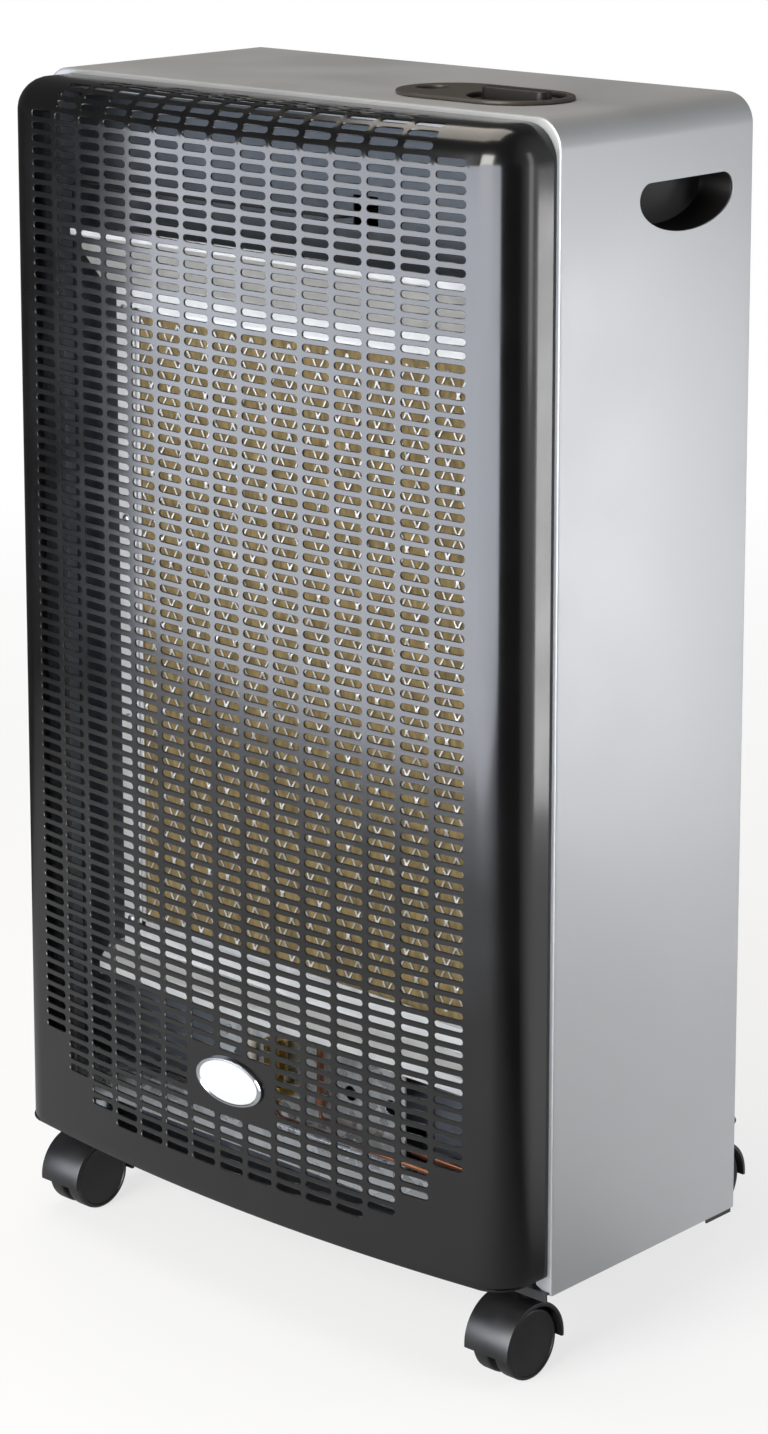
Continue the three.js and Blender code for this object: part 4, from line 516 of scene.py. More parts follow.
def new_tree(name, inputs):
    """An empty geometry node tree with named inputs, the identifier of each, and their sockets."""
    tree = bpy.data.node_groups.new(name, "GeometryNodeTree")
    tree.interface.new_socket("Geometry", in_out="INPUT", socket_type="NodeSocketGeometry")
    tree.interface.new_socket("Geometry", in_out="OUTPUT", socket_type="NodeSocketGeometry")
    ids = {}
    for label, kind in inputs.items():
        socket = tree.interface.new_socket(label, in_out="INPUT", socket_type="NodeSocket" + kind)
        ids[label] = socket.identifier
    sockets = tree.nodes.new("NodeGroupInput").outputs
    return tree, ids, {label: sockets[label] for label in ("Geometry", *inputs)}


def end_tree(tree, geometry, material):
    """Ends a tree in real meshes with their finish."""
    real = node(tree, "GeometryNodeRealizeInstances", [geometry])
    painted = node(tree, "GeometryNodeSetMaterial", {"Geometry": real, "Material": material})
    node(tree, "NodeGroupOutput", [painted])


def grown(name, tree, ids, values, mesh=None):
    """Runs a tree and returns its result as a plain object."""
    obj = placed(name, mesh or bpy.data.meshes.new(name))
    modifier = obj.modifiers.new("made", "NODES")
    modifier.node_group = tree
    for label, value in values.items():
        modifier[ids[label]] = value
    return baked(obj, 40)


def joined(name, *objects):
    """Several objects as one, which keeps their finishes."""
    combined = bmesh.new()
    materials = []
    for obj in objects:
        start = len(combined.faces)
        combined.from_mesh(obj.data)
        combined.faces.ensure_lookup_table()
        for face in combined.faces[start:]:
            face.material_index += len(materials)
        materials.extend(obj.data.materials)
        bpy.data.objects.remove(obj)
    mesh = bpy.data.meshes.new(name)
    combined.to_mesh(mesh)
    combined.free()
    for material in materials:
        mesh.materials.append(material)
    return placed(name, mesh)


def oblong(low_x, low_z, high_x, high_z):
    return [(low_x, low_z), (high_x, low_z), (high_x, high_z), (low_x, high_z)]


def measured(name):
    """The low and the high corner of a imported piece, in the same millimetres."""
    return [(c.x / MM, (c.y - SEAM) / MM, (c.z - BASE) / MM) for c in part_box(name)]


# One strand from knuckle to knuckle along x, wider and nearer the front at its ends.
strand_length = math.hypot(DIAMOND_WIDTH, DIAMOND_HEIGHT) / 2
sections = [(-0.5, 0.8, 0.3), (-0.34, 0.45, 0), (0, 0.4, -0.25), (0.34, 0.45, 0), (0.5, 0.8, 0.3)]
vertices = []
for along, half, lift in sections:
    for a, b in oblong(-half, -STRAND_HALF, half, STRAND_HALF):
        vertices.append((along * strand_length * MM, (b - lift) * MM, a * MM))
faces = skin(range(0, len(vertices), 4), 4) + [(3, 2, 1, 0), (16, 17, 18, 19)]
strand = mesh_object("strand", vertices, faces, bright_steel)

# The tree sets a leaning strand on every point of a grid, left and right in turn.
inputs = {"Columns": "Int", "Rows": "Int", "Half width": "Float", "Half height": "Float"}
inputs.update({"Middle": "Vector", "Slope": "Float", "Strand": "Object", "Finish": "Material"})
tree, ids, known = new_tree("expanded_metal", inputs)
known["number"] = node(tree, "GeometryNodeInputIndex")
for name, operation, *values in (
    ("steps across", "SUBTRACT", "Columns", 1.0),
    ("steps up", "SUBTRACT", "Rows", 1.0),
    ("width", "MULTIPLY", "steps across", "Half width"),
    ("height", "MULTIPLY", "steps up", "Half height"),
    ("columns before", "DIVIDE", "number", "Rows"),
    ("column", "FLOOR", "columns before"),
    ("row", "MODULO", "number", "Rows"),
    ("both", "ADD", "column", "row"),
    ("odd", "MODULO", "both", 2.0),
    ("double", "MULTIPLY", "odd", 2.0),
    ("swing", "SUBTRACT", "double", 1.0),
    ("lean", "MULTIPLY", "swing", "Slope"),
):
    values = [known.get(value, value) for value in values]
    known[name] = node(tree, "ShaderNodeMath", values, operation=operation)
lattice = node(tree, "GeometryNodeMeshGrid", [known[n] for n in ("width", "height", "Columns", "Rows")])
stood = {"Geometry": lattice, "Translation": known["Middle"], "Rotation": (math.pi / 2, 0, 0)}
stood = node(tree, "GeometryNodeTransform", stood)
lean = node(tree, "ShaderNodeCombineXYZ", {"Y": known["lean"]})
shape = node(tree, "GeometryNodeObjectInfo", {"Object": known["Strand"]}).outputs["Geometry"]
woven = {"Points": stood, "Instance": shape, "Rotation": lean}
woven = node(tree, "GeometryNodeInstanceOnPoints", woven)
end_tree(tree, woven, known["Finish"])
inner_width = (guard_high.x - guard_low.x) / MM - 2 * GUARD_EDGE
inner_height = (guard_high.z - guard_low.z) / MM - 2 * GUARD_EDGE
strands = grown(
    "guard_strands",
    tree,
    ids,
    {
        "Columns": int(inner_width / (DIAMOND_WIDTH / 2)),
        "Rows": int(inner_height / (DIAMOND_HEIGHT / 2)),
        "Half width": DIAMOND_WIDTH / 2 * MM,
        "Half height": DIAMOND_HEIGHT / 2 * MM,
        "Middle": (guard_low + guard_high) / 2,
        "Slope": math.atan2(DIAMOND_HEIGHT, DIAMOND_WIDTH),
        "Strand": strand,
        "Finish": bright_steel,
    },
)
bpy.data.objects.remove(strand)
(x0, y0, z0), (x1, y1, z1) = measured("mesh_guard")
level_bars = oblong(x0, z0, x1, z0 + GUARD_EDGE), oblong(x0, z1 - GUARD_EDGE, x1, z1)
upright_bars = oblong(x0, z0, x0 + GUARD_EDGE, z1), oblong(x1 - GUARD_EDGE, z0, x1, z1)
bars = [
    softened(prism("bar", outline, y0 + 0.1, y1 - 0.1, "y", bright_steel), 0.3)
    for outline in (*level_bars, *upright_bars)
]
guard = joined("expanded_metal_guard", strands, *bars)
dress(guard, "cabinet", "bright_mesh", "mesh_guard")

# ------------------------------------------------------------------ burner screws
# Pan-head screws with a crossed recess hold the burner frame to its rails and the hood and shelf to the
# frame. They are bright zinc.

# Zinc plating: thin, bright and slightly blue.
zinc = surface("zinc-plated steel", "#bcc0c5", 0.28, metallic=1.0, tint=0.08, patch=10, relief=0.005)


def capped(total, count):
    """The faces of a solid made of equal rings of points, with both ends closed."""
    return [*skin(range(0, total, count), count), tuple(range(count)), tuple(range(total - count, total))]


def lathe(name, profile, centre, material, steps=64, sharp=30, axis=(0, 0, 1)):
    """A turned piece: (radius, height) points in millimetres about an axis through the centre."""
    turn = Vector(axis).to_track_quat("Z", "Y").to_matrix()
    vertices = []
    for radius, height in profile:
        for i in range(steps):
            a = 2 * math.pi * i / steps
            spoke = Vector((max(radius, 0.001) * math.cos(a), max(radius, 0.001) * math.sin(a), height))
            vertices.append(Vector(centre) + turn @ (spoke * MM))
    return mesh_object(name, vertices, capped(len(vertices), steps), material, sharp)


SCREW_RADIUS = 3.0
SCREW_HEAD = 1.3
SCREW_INSET = 6.5
RECESS_HALF = (2.0, 0.35)
RECESS_DEPTH = 0.6
head = [(0, -0.2), (SCREW_RADIUS, -0.2), (SCREW_RADIUS, 0.5), (2.6, 0.95), (1.8, SCREW_HEAD)]
head.append((0, SCREW_HEAD))
screw = lathe("screw", head, (0, 0, 0), zinc, 20, axis=(0, -1, 0))
for a, b in (RECESS_HALF, RECESS_HALF[::-1]):
    slot = prism("recess", oblong(-a, -b, a, b), -SCREW_HEAD - 1, -SCREW_HEAD + RECESS_DEPTH, "y", zinc)
    slot.data.transform(Matrix.Translation(-place(0, 0, 0)))
    cut_by(screw, slot)

tree, ids, known = new_tree("screws", {"Screw": "Object", "Finish": "Material"})
shape = node(tree, "GeometryNodeObjectInfo", {"Object": known["Screw"]}).outputs["Geometry"]
limits = {"Min": 0.0, "Max": math.pi, "Seed": 7}
turns = node(tree, "FunctionNodeRandomValue", limits, data_type="FLOAT").outputs[1]
spin = node(tree, "ShaderNodeCombineXYZ", {"Y": turns})
set_in = {"Points": known["Geometry"], "Instance": shape, "Rotation": spin}
set_in = node(tree, "GeometryNodeInstanceOnPoints", set_in)
end_tree(tree, set_in, known["Finish"])
frame_low, frame_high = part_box("burner_frame")
points = bpy.data.meshes.new("screw_places")
places = []
for x in (frame_low.x + SCREW_INSET * MM, frame_high.x - SCREW_INSET * MM):
    for share in (0.04, 0.35, 0.65, 0.96):
        z = frame_low.z + (frame_high.z - frame_low.z) * share
        places.append((x, frame_low.y, z))
points.from_pydata(places, [], [])
screws = grown("burner_screws", tree, ids, {"Screw": screw, "Finish": zinc}, points)
bpy.data.objects.remove(screw)
dress(screws, "cabinet", "bright_steel")

# ------------------------------------------------------------------ pilot group and injector
# Below the burner stand the brass pilot burner, the spark electrode in its porcelain sleeve, the
# thermocouple and the brass injector that feeds the mixing tube.

# Turned brass: warm and bright, with faint tool rings.
brass = surface("turned brass", "#b8954e", 0.28, metallic=1.0, tint=0.08, grain=0.3)
# Glazed porcelain: white, smooth and shiny.
porcelain = surface("glazed porcelain", "#ece8de", 0.2, coat=0.4, tint=0.02)
# Drawn copper: reddish, with darker patches where it has been handled and warmed.
copper = surface("drawn copper", "#96664a", 0.4, metallic=1.0, tint=0.18, patch=25)
worked_copy("pilot_burner", brass, "brass", 0.2)
worked_copy("injector", brass, "brass", 0.3)
worked_copy("spark_electrode", porcelain, "porcelain", 0.2)
worked_copy("thermocouple", copper, "copper_tube", 0.2)

# ------------------------------------------------------------------ gas valve and igniter
# The cast valve body hangs in its bracket under the controls, with a brass plug, a barbed hose tail and
# the spindle that the knob turns. The piezo igniter stands beside it.

# Sand-cast aluminium: light grey with a rough, pitted skin.
cast_aluminium = surface(
    "cast aluminium", "#a7aaae", 0.5, metallic=0.9, tint=0.08, grain=0.8, relief=0.05
)
worked_copy("valve_body", cast_aluminium, "cast_aluminium", 1.2)
worked_copy("valve_plug", brass, "brass", 0.3)
worked_copy("gas_inlet", brass, "brass", 0.2)
worked_copy("valve_spindle", zinc, "bright_steel", 0.3)
worked_copy("piezo_igniter", black_abs, "black_plastic", 0.5)

# ------------------------------------------------------------------ tubes and leads
# Bent copper tubes carry gas to the burner and the pilot, the spark lead runs in a black sleeve, and
# the thermocouple's thin capillary goes back to the valve.


def swept(name, corners, radius, bend, material, sides=14):
    """A round tube along straight runs with rounded bends, in millimetres."""
    points = [Vector(corner) for corner in corners]
    stops = [points[0]]
    for before, point, after in zip(points, points[1:], points[2:]):
        behind, ahead = before - point, after - point
        far = min(bend / math.tan(behind.angle(ahead) / 2), 0.45 * min(behind.length, ahead.length))
        start, end = point + behind.normalized() * far, point + ahead.normalized() * far
        for step in range(9):
            t = step / 8
            stops.append(start * (1 - t) ** 2 + point * 2 * t * (1 - t) + end * t * t)
    stops.append(points[-1])
    tangents = [(b - a).normalized() for a, b in zip([stops[0], *stops], [*stops[1:], stops[-1]])]
    normal = tangents[0].orthogonal().normalized()
    vertices = []
    for i, stop in enumerate(stops):
        if i:
            normal = tangents[i - 1].rotation_difference(tangents[i]) @ normal
        side = tangents[i].cross(normal)
        for j in range(sides):
            a = 2 * math.pi * j / sides
            vertices.append(place(*(stop + (normal * math.cos(a) + side * math.sin(a)) * radius)))
    return mesh_object(name, vertices, capped(len(vertices), sides), material, 40)


# Silicone sleeve: matt black and slightly soft.
silicone = surface("black silicone sleeve", "#161617", 0.6, tint=0.1)

LOW_RUN = 52.0  # height of the runs below the burner
MIXER_Y = 14.9
feed = [(60, MIXER_Y, 79.7), (60, MIXER_Y, LOW_RUN), (197, MIXER_Y, LOW_RUN), (197, MIXER_Y, 655)]
feed += [(197, 58, 655), (147.8, 58, 655)]
pilot = [(-12, -2.3, 65.7), (-12, -2.3, LOW_RUN), (190, -2.3, LOW_RUN), (190, -2.3, 668)]
pilot += [(190, 50, 668), (147.8, 50, 668)]
spark = [(64, 58, 640.4), (64, 58, 628), (40, 58, 628), (40, 2.7, 628), (-191, 2.7, 628)]
spark += [(-191, 2.7, LOW_RUN), (-38, 2.7, LOW_RUN), (-38, 2.7, 65.7)]
capillary = [(22, 2.3, 65.7), (22, 2.3, 59), (185, 2.3, 59), (185, 2.3, 645), (185, 34, 645)]
capillary += [(137.5, 34, 645), (137.5, 41.7, 645)]
for name, route, radius, bend, material, slot, replaced in (
    ("feed_tube_bent", feed, 3.0, 12, copper, "copper_tube", "burner_feed_tube"),
    ("pilot_tube_bent", pilot, 2.0, 8, copper, "copper_tube", "pilot_line"),
    ("spark_lead_bent", spark, 1.6, 7, silicone, "lead_rubber", "ignition_lead"),
    ("capillary_bent", capillary, 1.3, 6, copper, "copper_tube", "thermocouple_lead"),
):
    dress(swept(name, route, radius, bend, material), "cabinet", slot, replaced)

# ------------------------------------------------------------------ controls
# A moulded bezel is let into the top, nearly flush, with the round knob in a well and the igniter's
# button in a smaller hole.

# The bezel's plastic is a warm dark grey, the knob's and button's nearly black.
warm_abs = surface("warm grey moulded ABS", "#3f3a35", 0.42, tint=0.06, grain=0.35, relief=0.02)

KNOB_X = 129.5
KNOB_BAR = 3.0  # how far above its lower face the knob's bar begins
DISC = 5.0
BUTTON_X = 64.0
WELL_RADIUS = 29.3
BUTTON_HOLE = 10.3
SPINDLE_HOLE = 3.8
PLUNGER_HOLE = 5.3
PLATE_SIZE = (118, 69)
PLUG_SIZE = (111, 62)
BAR_SIZE = (50, 11)
BEZEL_FLOOR = 3.0
BEZEL_LAP = 0.3
bezel_bottom, bezel_top = [corner[2] for corner in measured("control_bezel")]
knob_bottom, knob_top = [corner[2] for corner in measured("control_knob")]
button_bottom, button_top = [corner[2] for corner in measured("igniter_button")]


def drill(x, radius, low=CUT_LOW):
    """A cutter for a round hole of the bezel."""
    bit = [(0, low), (radius, low), (radius, CUT_HIGH), (0, CUT_HIGH)]
    return lathe("drill", bit, place(x, BEZEL_Y, 0), black_abs, 96)


plate = stadium(BEZEL_X, BEZEL_Y, *PLATE_SIZE)
plate = prism("bezel_plate", plate, SHELL_HEIGHT + BEZEL_LAP, bezel_top, "z", warm_abs)
cut_by(plate, drill(KNOB_X, WELL_RADIUS), drill(BUTTON_X, BUTTON_HOLE))
softened(plate, 0.7, 3, 50)
plug = stadium(BEZEL_X, BEZEL_Y, *PLUG_SIZE)
plug = prism("bezel_plug", plug, bezel_bottom, SHELL_HEIGHT + 2 * BEZEL_LAP, "z", black_abs)
cut_by(
    plug,
    drill(KNOB_X, WELL_RADIUS, bezel_bottom + BEZEL_FLOOR),
    drill(BUTTON_X, BUTTON_HOLE, bezel_bottom + BEZEL_FLOOR),
    drill(KNOB_X, SPINDLE_HOLE, bezel_bottom - BEZEL_FLOOR),
    drill(BUTTON_X, PLUNGER_HOLE, bezel_bottom - BEZEL_FLOOR),
)
dress(joined("control_bezel_moulding", plate, plug), "cabinet", "black_plastic", "control_bezel")

disc = [(3.4, 0), (27.9, 0), (28.5, 0.5), (28.5, 4.2), (28.2, 4.8), (27.5, DISC)]
disc += [(26.8, DISC), (26.0, 4.6), (25.4, 4.0), (3.4, 4.0)]
knob = lathe("knob_disc", disc, place(KNOB_X, BEZEL_Y, knob_bottom), black_abs, 96)
bar = stadium(KNOB_X, BEZEL_Y, *BAR_SIZE, 12)
bar = prism("knob_bar", bar, knob_bottom + KNOB_BAR, knob_top, "z", black_abs)
softened(bar, 1.1, 4, 50)
dress(joined("control_knob_moulding", knob, bar), "knob", "black_plastic", "control_knob")

tall = button_top - button_bottom
button = [(0, 0), (4.5, 0), (4.5, tall - 5), (9.5, tall - 5), (9.5, tall - 1.2), (9.2, tall - 0.5)]
button += [(8.6, tall - 0.1), (8.0, tall), (5.0, tall - 0.5), (0, tall - 0.8)]
centre = place(BUTTON_X, BEZEL_Y, button_bottom)
button = lathe("igniter_button_moulding", button, centre, black_abs)
dress(button, "button", "black_plastic", "igniter_button")

# ------------------------------------------------------------------ front cover
# A deep-drawn steel pan in black stoving enamel. Its face is bowed and its top edge rolled back, both
# pressed full of slots with round ends, and the sides and top corners roll back to the seam.

# Stoving enamel: a deep gloss black that mirrors the room softly.
black_enamel = surface(
    "semi-gloss black stoving enamel", "#0c0c0d", 0.2, coat=0.4, tint=0.05, grain=1.6, relief=0.004
)

COVER_HALF = 209.0
COVER_TOP = 697.0
COVER_BOTTOM = 11.6
EDGE_RADIUS = 22.0
SIDE_WALL = 20.0
BOW = 13.0
COVER_SHEET = 1.0
COVER_BACK = -0.3
FLAT_HALF = COVER_HALF - EDGE_RADIUS
FLAT_TOP = COVER_TOP - EDGE_RADIUS
COLUMNS = 15
COLUMN_PITCH = 24.15
ROW_PITCH = 7.8
SLOT_LENGTH = 20.3
SLOT_HEIGHT = 4.2
SLOT_BREAK = 0.35
FIRST_ROW = 37.0
LAST_ROW = 88
PLAIN_ROWS_BELOW = 2


def is_open(column, row):
    """Whether a cell is slotted: the outer columns are shorter, and the badge's place is bare."""
    side = min(column, COLUMNS - 1 - column)
    lowest = (6, 3, 1)[side] if side < 3 else 0
    highest = (82, 85, 87)[side] if side < 3 else LAST_ROW - (side % 2)
    badge = abs(column - COLUMNS // 2) <= 1 and 5 <= row <= 9
    return lowest <= row <= highest and not badge


def cell(name, slotted):
    """One cell of the pattern, flat: x across, y up and z out of the sheet."""
    a, b = COLUMN_PITCH / 2, ROW_PITCH / 2
    rim = [(a, 0), (a, b), (0, b), (-a, b), (-a, 0), (-a, -b), (0, -b), (a, -b)]
    vertices, faces = [], []

    def level(points, depth):
        vertices.extend([(x * MM, y * MM, -depth * MM) for x, y in points])
        return len(vertices) - len(points)

    front, rear = level(rim, 0), level(rim, COVER_SHEET)
    if not slotted:
        for start, depth in ((front, 0), (rear, COVER_SHEET)):
            middle = level([(0, 0)], depth)
            faces += [(start + i, start + i + 1, start + (i + 2) % 8, middle) for i in (0, 2, 4, 6)]
    else:

        def ring(grown_by):
            r, half = SLOT_HEIGHT / 2 + grown_by, (SLOT_LENGTH - SLOT_HEIGHT) / 2
            points = [*arc(half, 0, r, r, 0, 90, 2), (0, r), *arc(-half, 0, r, r, 90, 270, 4)]
            return [*points, (0, -r), *arc(half, 0, r, r, -90, -45, 1)]

        shapes = (SLOT_BREAK, 0), (0, SLOT_BREAK), (0, COVER_SHEET)
        rings = [level(ring(grown_by), depth) for grown_by, depth in shapes]
        for start, hole in ((front, rings[0]), (rear, rings[2])):
            for quarter in range(4):
                o = [start + (quarter * 2 + k) % 8 for k in range(3)]
                h = [hole + (quarter * 3 + k) % 12 for k in range(4)]
                faces += [(o[0], o[1], h[1], h[0]), (o[1], h[2], h[1]), (o[1], o[2], h[3], h[2])]
        faces += skin(rings, 12)
    mesh = bpy.data.meshes.new(name)
    mesh.from_pydata(vertices, [], faces)
    return placed(name, mesh)


# The tree sets slotted or plain cells side by side and bends the sheet to the bow and the top roll.
names = ("Bow", "Bow half span", "Side wall", "Roll radius", "Roll start", "Seam", "Base")
inputs = {"Slotted cell": "Object", "Plain cell": "Object", **dict.fromkeys(names, "Float")}
tree, ids, known = new_tree("perforated_cover", {**inputs, "Finish": "Material"})
slotted = node(tree, "GeometryNodeInputNamedAttribute", {"Name": "slotted"}, data_type="BOOLEAN")
plain = node(tree, "FunctionNodeBooleanMath", [slotted], operation="NOT")
both = node(tree, "GeometryNodeJoinGeometry")
for label, chosen in (("Slotted cell", slotted), ("Plain cell", plain)):
    shape = node(tree, "GeometryNodeObjectInfo", {"Object": known[label]}).outputs["Geometry"]
    laid = {"Points": known["Geometry"], "Selection": chosen, "Instance": shape}
    laid = node(tree, "GeometryNodeInstanceOnPoints", laid)
    tree.links.new(laid.outputs[0], both.inputs[0])
flat = node(tree, "GeometryNodeRealizeInstances", [both])
where = node(tree, "ShaderNodeSeparateXYZ", [node(tree, "GeometryNodeInputPosition")])
known.update(zip(("across", "along", "out"), where.outputs))
for name, operation, *values in (
    ("share", "DIVIDE", "across", "Bow half span"),
    ("square", "MULTIPLY", "share", "share"),
    ("fall", "SUBTRACT", 1.0, "square"),
    ("held fall", "MAXIMUM", "fall", 0.0),
    ("bow", "MULTIPLY", "Bow", "held fall"),
    ("twice", "MULTIPLY", "Bow", 2.0),
    ("lean", "MULTIPLY", "twice", "share"),
    ("slope", "DIVIDE", "lean", "Bow half span"),
    ("over", "SUBTRACT", "along", "Roll start"),
    ("past", "MAXIMUM", "over", 0.0),
    ("turn", "DIVIDE", "past", "Roll radius"),
    ("angle", "MINIMUM", "turn", math.pi / 2),
    ("rolled", "MULTIPLY", "Roll radius", math.pi / 2),
    ("further", "SUBTRACT", "past", "rolled"),
    ("beyond", "MAXIMUM", "further", 0.0),
    ("cosine", "COSINE", "angle"),
    ("sine", "SINE", "angle"),
    ("radius", "ADD", "Roll radius", "out"),
    ("shift", "MULTIPLY", "out", "slope"),
    ("aside", "MULTIPLY", "shift", "cosine"),
    ("face", "ADD", "Side wall", "bow"),
    ("forward", "MULTIPLY", "radius", "cosine"),
    ("reach", "ADD", "face", "forward"),
    ("straight", "MINIMUM", "along", "Roll start"),
    ("upright", "ADD", "straight", "Base"),
    ("rise", "MULTIPLY", "radius", "sine"),
    ("end", "ADD", "Seam", "beyond"),
    ("x", "ADD", "across", "aside"),
    ("y", "SUBTRACT", "end", "reach"),
    ("z", "ADD", "upright", "rise"),
):
    values = [known.get(value, value) for value in values]
    known[name] = node(tree, "ShaderNodeMath", values, operation=operation)
formed = node(tree, "ShaderNodeCombineXYZ", [known[axis] for axis in "xyz"])
bent = node(tree, "GeometryNodeSetPosition", {"Geometry": flat, "Position": formed})
end_tree(tree, bent, known["Finish"])

cells = bpy.data.meshes.new("cells")
points, flags = [], []
for column in range(COLUMNS):
    for row in range(-PLAIN_ROWS_BELOW, LAST_ROW + 1):
        x = (column - COLUMNS // 2) * COLUMN_PITCH
        points.append((x * MM, (FIRST_ROW + row * ROW_PITCH) * MM, 0))
        flags.append(is_open(column, row))
cells.from_pydata(points, [], [])
cells.attributes.new("slotted", "BOOLEAN", "POINT").data.foreach_set("value", flags)
lengths = [size * MM for size in (BOW, FLAT_HALF, SIDE_WALL, EDGE_RADIUS, FLAT_TOP)]
values = dict(zip(names, (*lengths, SEAM, BASE)))
patterns = {"Slotted cell": cell("slotted_cell", True), "Plain cell": cell("plain_cell", False)}
field = grown("cover_field", tree, ids, {**values, **patterns, "Finish": black_enamel}, cells)
for pattern in patterns.values():
    bpy.data.objects.remove(pattern)


def on_face(u, s, d):
    """Where the tree puts a point of the flat pattern, in millimetres."""
    past = max(0, s - FLAT_TOP)
    angle = min(past / EDGE_RADIUS, math.pi / 2)
    radius = EDGE_RADIUS + d
    bow = BOW * max(0, 1 - (u / FLAT_HALF) ** 2)
    x = u + d * 2 * BOW * u / FLAT_HALF**2 * math.cos(angle)
    y = max(0, past - EDGE_RADIUS * math.pi / 2) - SIDE_WALL - bow - radius * math.cos(angle)
    return x, y, min(s, FLAT_TOP) + radius * math.sin(angle)


# Round the slotted field lie the plain lower edge, the sides, the top corners and the strip at the seam.
columns = [COLUMN_PITCH / 2 * i for i in range(-COLUMNS, COLUMNS + 1)]
field_low = FIRST_ROW - (PLAIN_ROWS_BELOW + 0.5) * ROW_PITCH
field_high = FIRST_ROW + (LAST_ROW + 0.5) * ROW_PITCH
half_rows = round(2 * (field_high - field_low) / ROW_PITCH)
lines = [field_low + ROW_PITCH / 2 * i for i in range(half_rows + 1)]
field_edge = columns[-1]
brims = [(field_low, 0), (COVER_BOTTOM + 2, 0), (COVER_BOTTOM + 0.6, 0.3), (COVER_BOTTOM, 1.0)]
vertices, faces = [], []


def pair(u, s, outer=0.0):
    """The same place on the outer and the inner surface."""
    return on_face(u, s, -outer), on_face(u, s, -COVER_SHEET)


def lay(rows):
    """Faces between rows of such pairs."""
    numbers = []
    for row in rows:
        numbers.append([])
        for both_sides in row:
            vertices.extend(place(*point) for point in both_sides)
            numbers[-1].append((len(vertices) - 2, len(vertices) - 1))
    for upper, lower in zip(numbers, numbers[1:]):
        for k in range(len(upper) - 1):
            for i in (0, 1):
                faces.append((upper[k][i], upper[k + 1][i], lower[k + 1][i], lower[k][i]))
    return numbers


def close(row):
    """The cut edge of the sheet along a row."""
    faces.extend((a[0], b[0], b[1], a[1]) for a, b in zip(row, row[1:]))


edge_slope = math.atan(2 * BOW / FLAT_HALF)
side_radius = EDGE_RADIUS / (1 - math.sin(edge_slope))
roll_front = -SIDE_WALL - EDGE_RADIUS
quarter_roll = EDGE_RADIUS * math.pi / 2
rolls = [(s - FLAT_TOP) / EDGE_RADIUS for s in lines if 0 < s - FLAT_TOP < quarter_roll]
walls = [s - FLAT_TOP - quarter_roll for s in lines if s - FLAT_TOP - quarter_roll > 0]
# Each profile point holds its distance from the flat's end, its y and its outward direction.
side = [(0, roll_front, math.sin(edge_slope), -math.cos(edge_slope))]
top = [(0, roll_front, 0, -1)]
for a in rolls:
    b = edge_slope + (math.pi / 2 - edge_slope) * a / (math.pi / 2)
    across = side_radius * (math.sin(b) - math.sin(edge_slope))
    depth = side_radius * (math.cos(edge_slope) - math.cos(b))
    side.append((across, roll_front + depth, math.sin(b), -math.cos(b)))
    sine, cosine = math.sin(a), math.cos(a)
    top.append((EDGE_RADIUS * sine, -SIDE_WALL - EDGE_RADIUS * cosine, sine, -cosine))
wall_start = roll_front + side_radius * math.cos(edge_slope)
for w in walls:
    side.append((EDGE_RADIUS, wall_start + (COVER_BACK - wall_start) * w / SIDE_WALL, 1, 0))
    top.append((EDGE_RADIUS, -SIDE_WALL + w, 1, 0))
side.append((EDGE_RADIUS, COVER_BACK, 1, 0))
top.append((EDGE_RADIUS, COVER_BACK, 1, 0))


def turned_out(hand, profile, turn, z, outer=0.0):
    """The profile swung about the corner by an angle, or standing at a height where it is 0."""
    row = []
    for across, y, out, forward in profile:
        both_sides = [(across - out * inward, y - forward * inward) for inward in (outer, COVER_SHEET)]
        places = [
            (hand * (FLAT_HALF + reach * math.cos(turn)), level, z + reach * math.sin(turn))
            for reach, level in both_sides
        ]
        row.append(places)
    return row


CORNER_STEPS = 8
for hand in (-1, 1):
    heights = [*reversed(brims[1:]), *((s, 0.0) for s in lines if s <= FLAT_TOP), (FLAT_TOP, 0.0)]
    rows = [[pair(hand * field_edge, s, o), *turned_out(hand, side, 0, s, o)] for s, o in heights]
    numbers = lay(rows)
    close([row[-1] for row in numbers])
    close(numbers[0])
    ends = turned_out(hand, top, math.pi / 2, FLAT_TOP)
    levels = [FLAT_TOP, *(s for s in lines if s > FLAT_TOP)]
    strip = [[pair(hand * field_edge, s), end] for s, end in zip(levels, ends)]
    outer, inner = pair(hand * field_edge, lines[-1])
    strip.append([((outer[0], COVER_BACK, outer[2]), (inner[0], COVER_BACK, inner[2])), ends[-1]])
    close(lay(strip)[-1])
    corner = []
    for i in range(CORNER_STEPS + 1):
        share = i / CORNER_STEPS
        blend = [[p * (1 - share) + q * share for p, q in zip(a, b)] for a, b in zip(side, top)]
        corner.append(turned_out(hand, blend, share * math.pi / 2, FLAT_TOP))
    close([row[-1] for row in lay(corner)])
close(lay([[pair(u, s, o) for u in columns] for s, o in brims])[-1])
first = [pair(u, lines[-1]) for u in columns]
last = [tuple((x, COVER_BACK, z) for x, _, z in both_sides) for both_sides in first]
close(lay([first, last])[-1])
border = mesh_object("cover_border", vertices, faces, black_enamel)
pan = joined("cover_pan", field, border)
tidy_mesh(pan, 30)

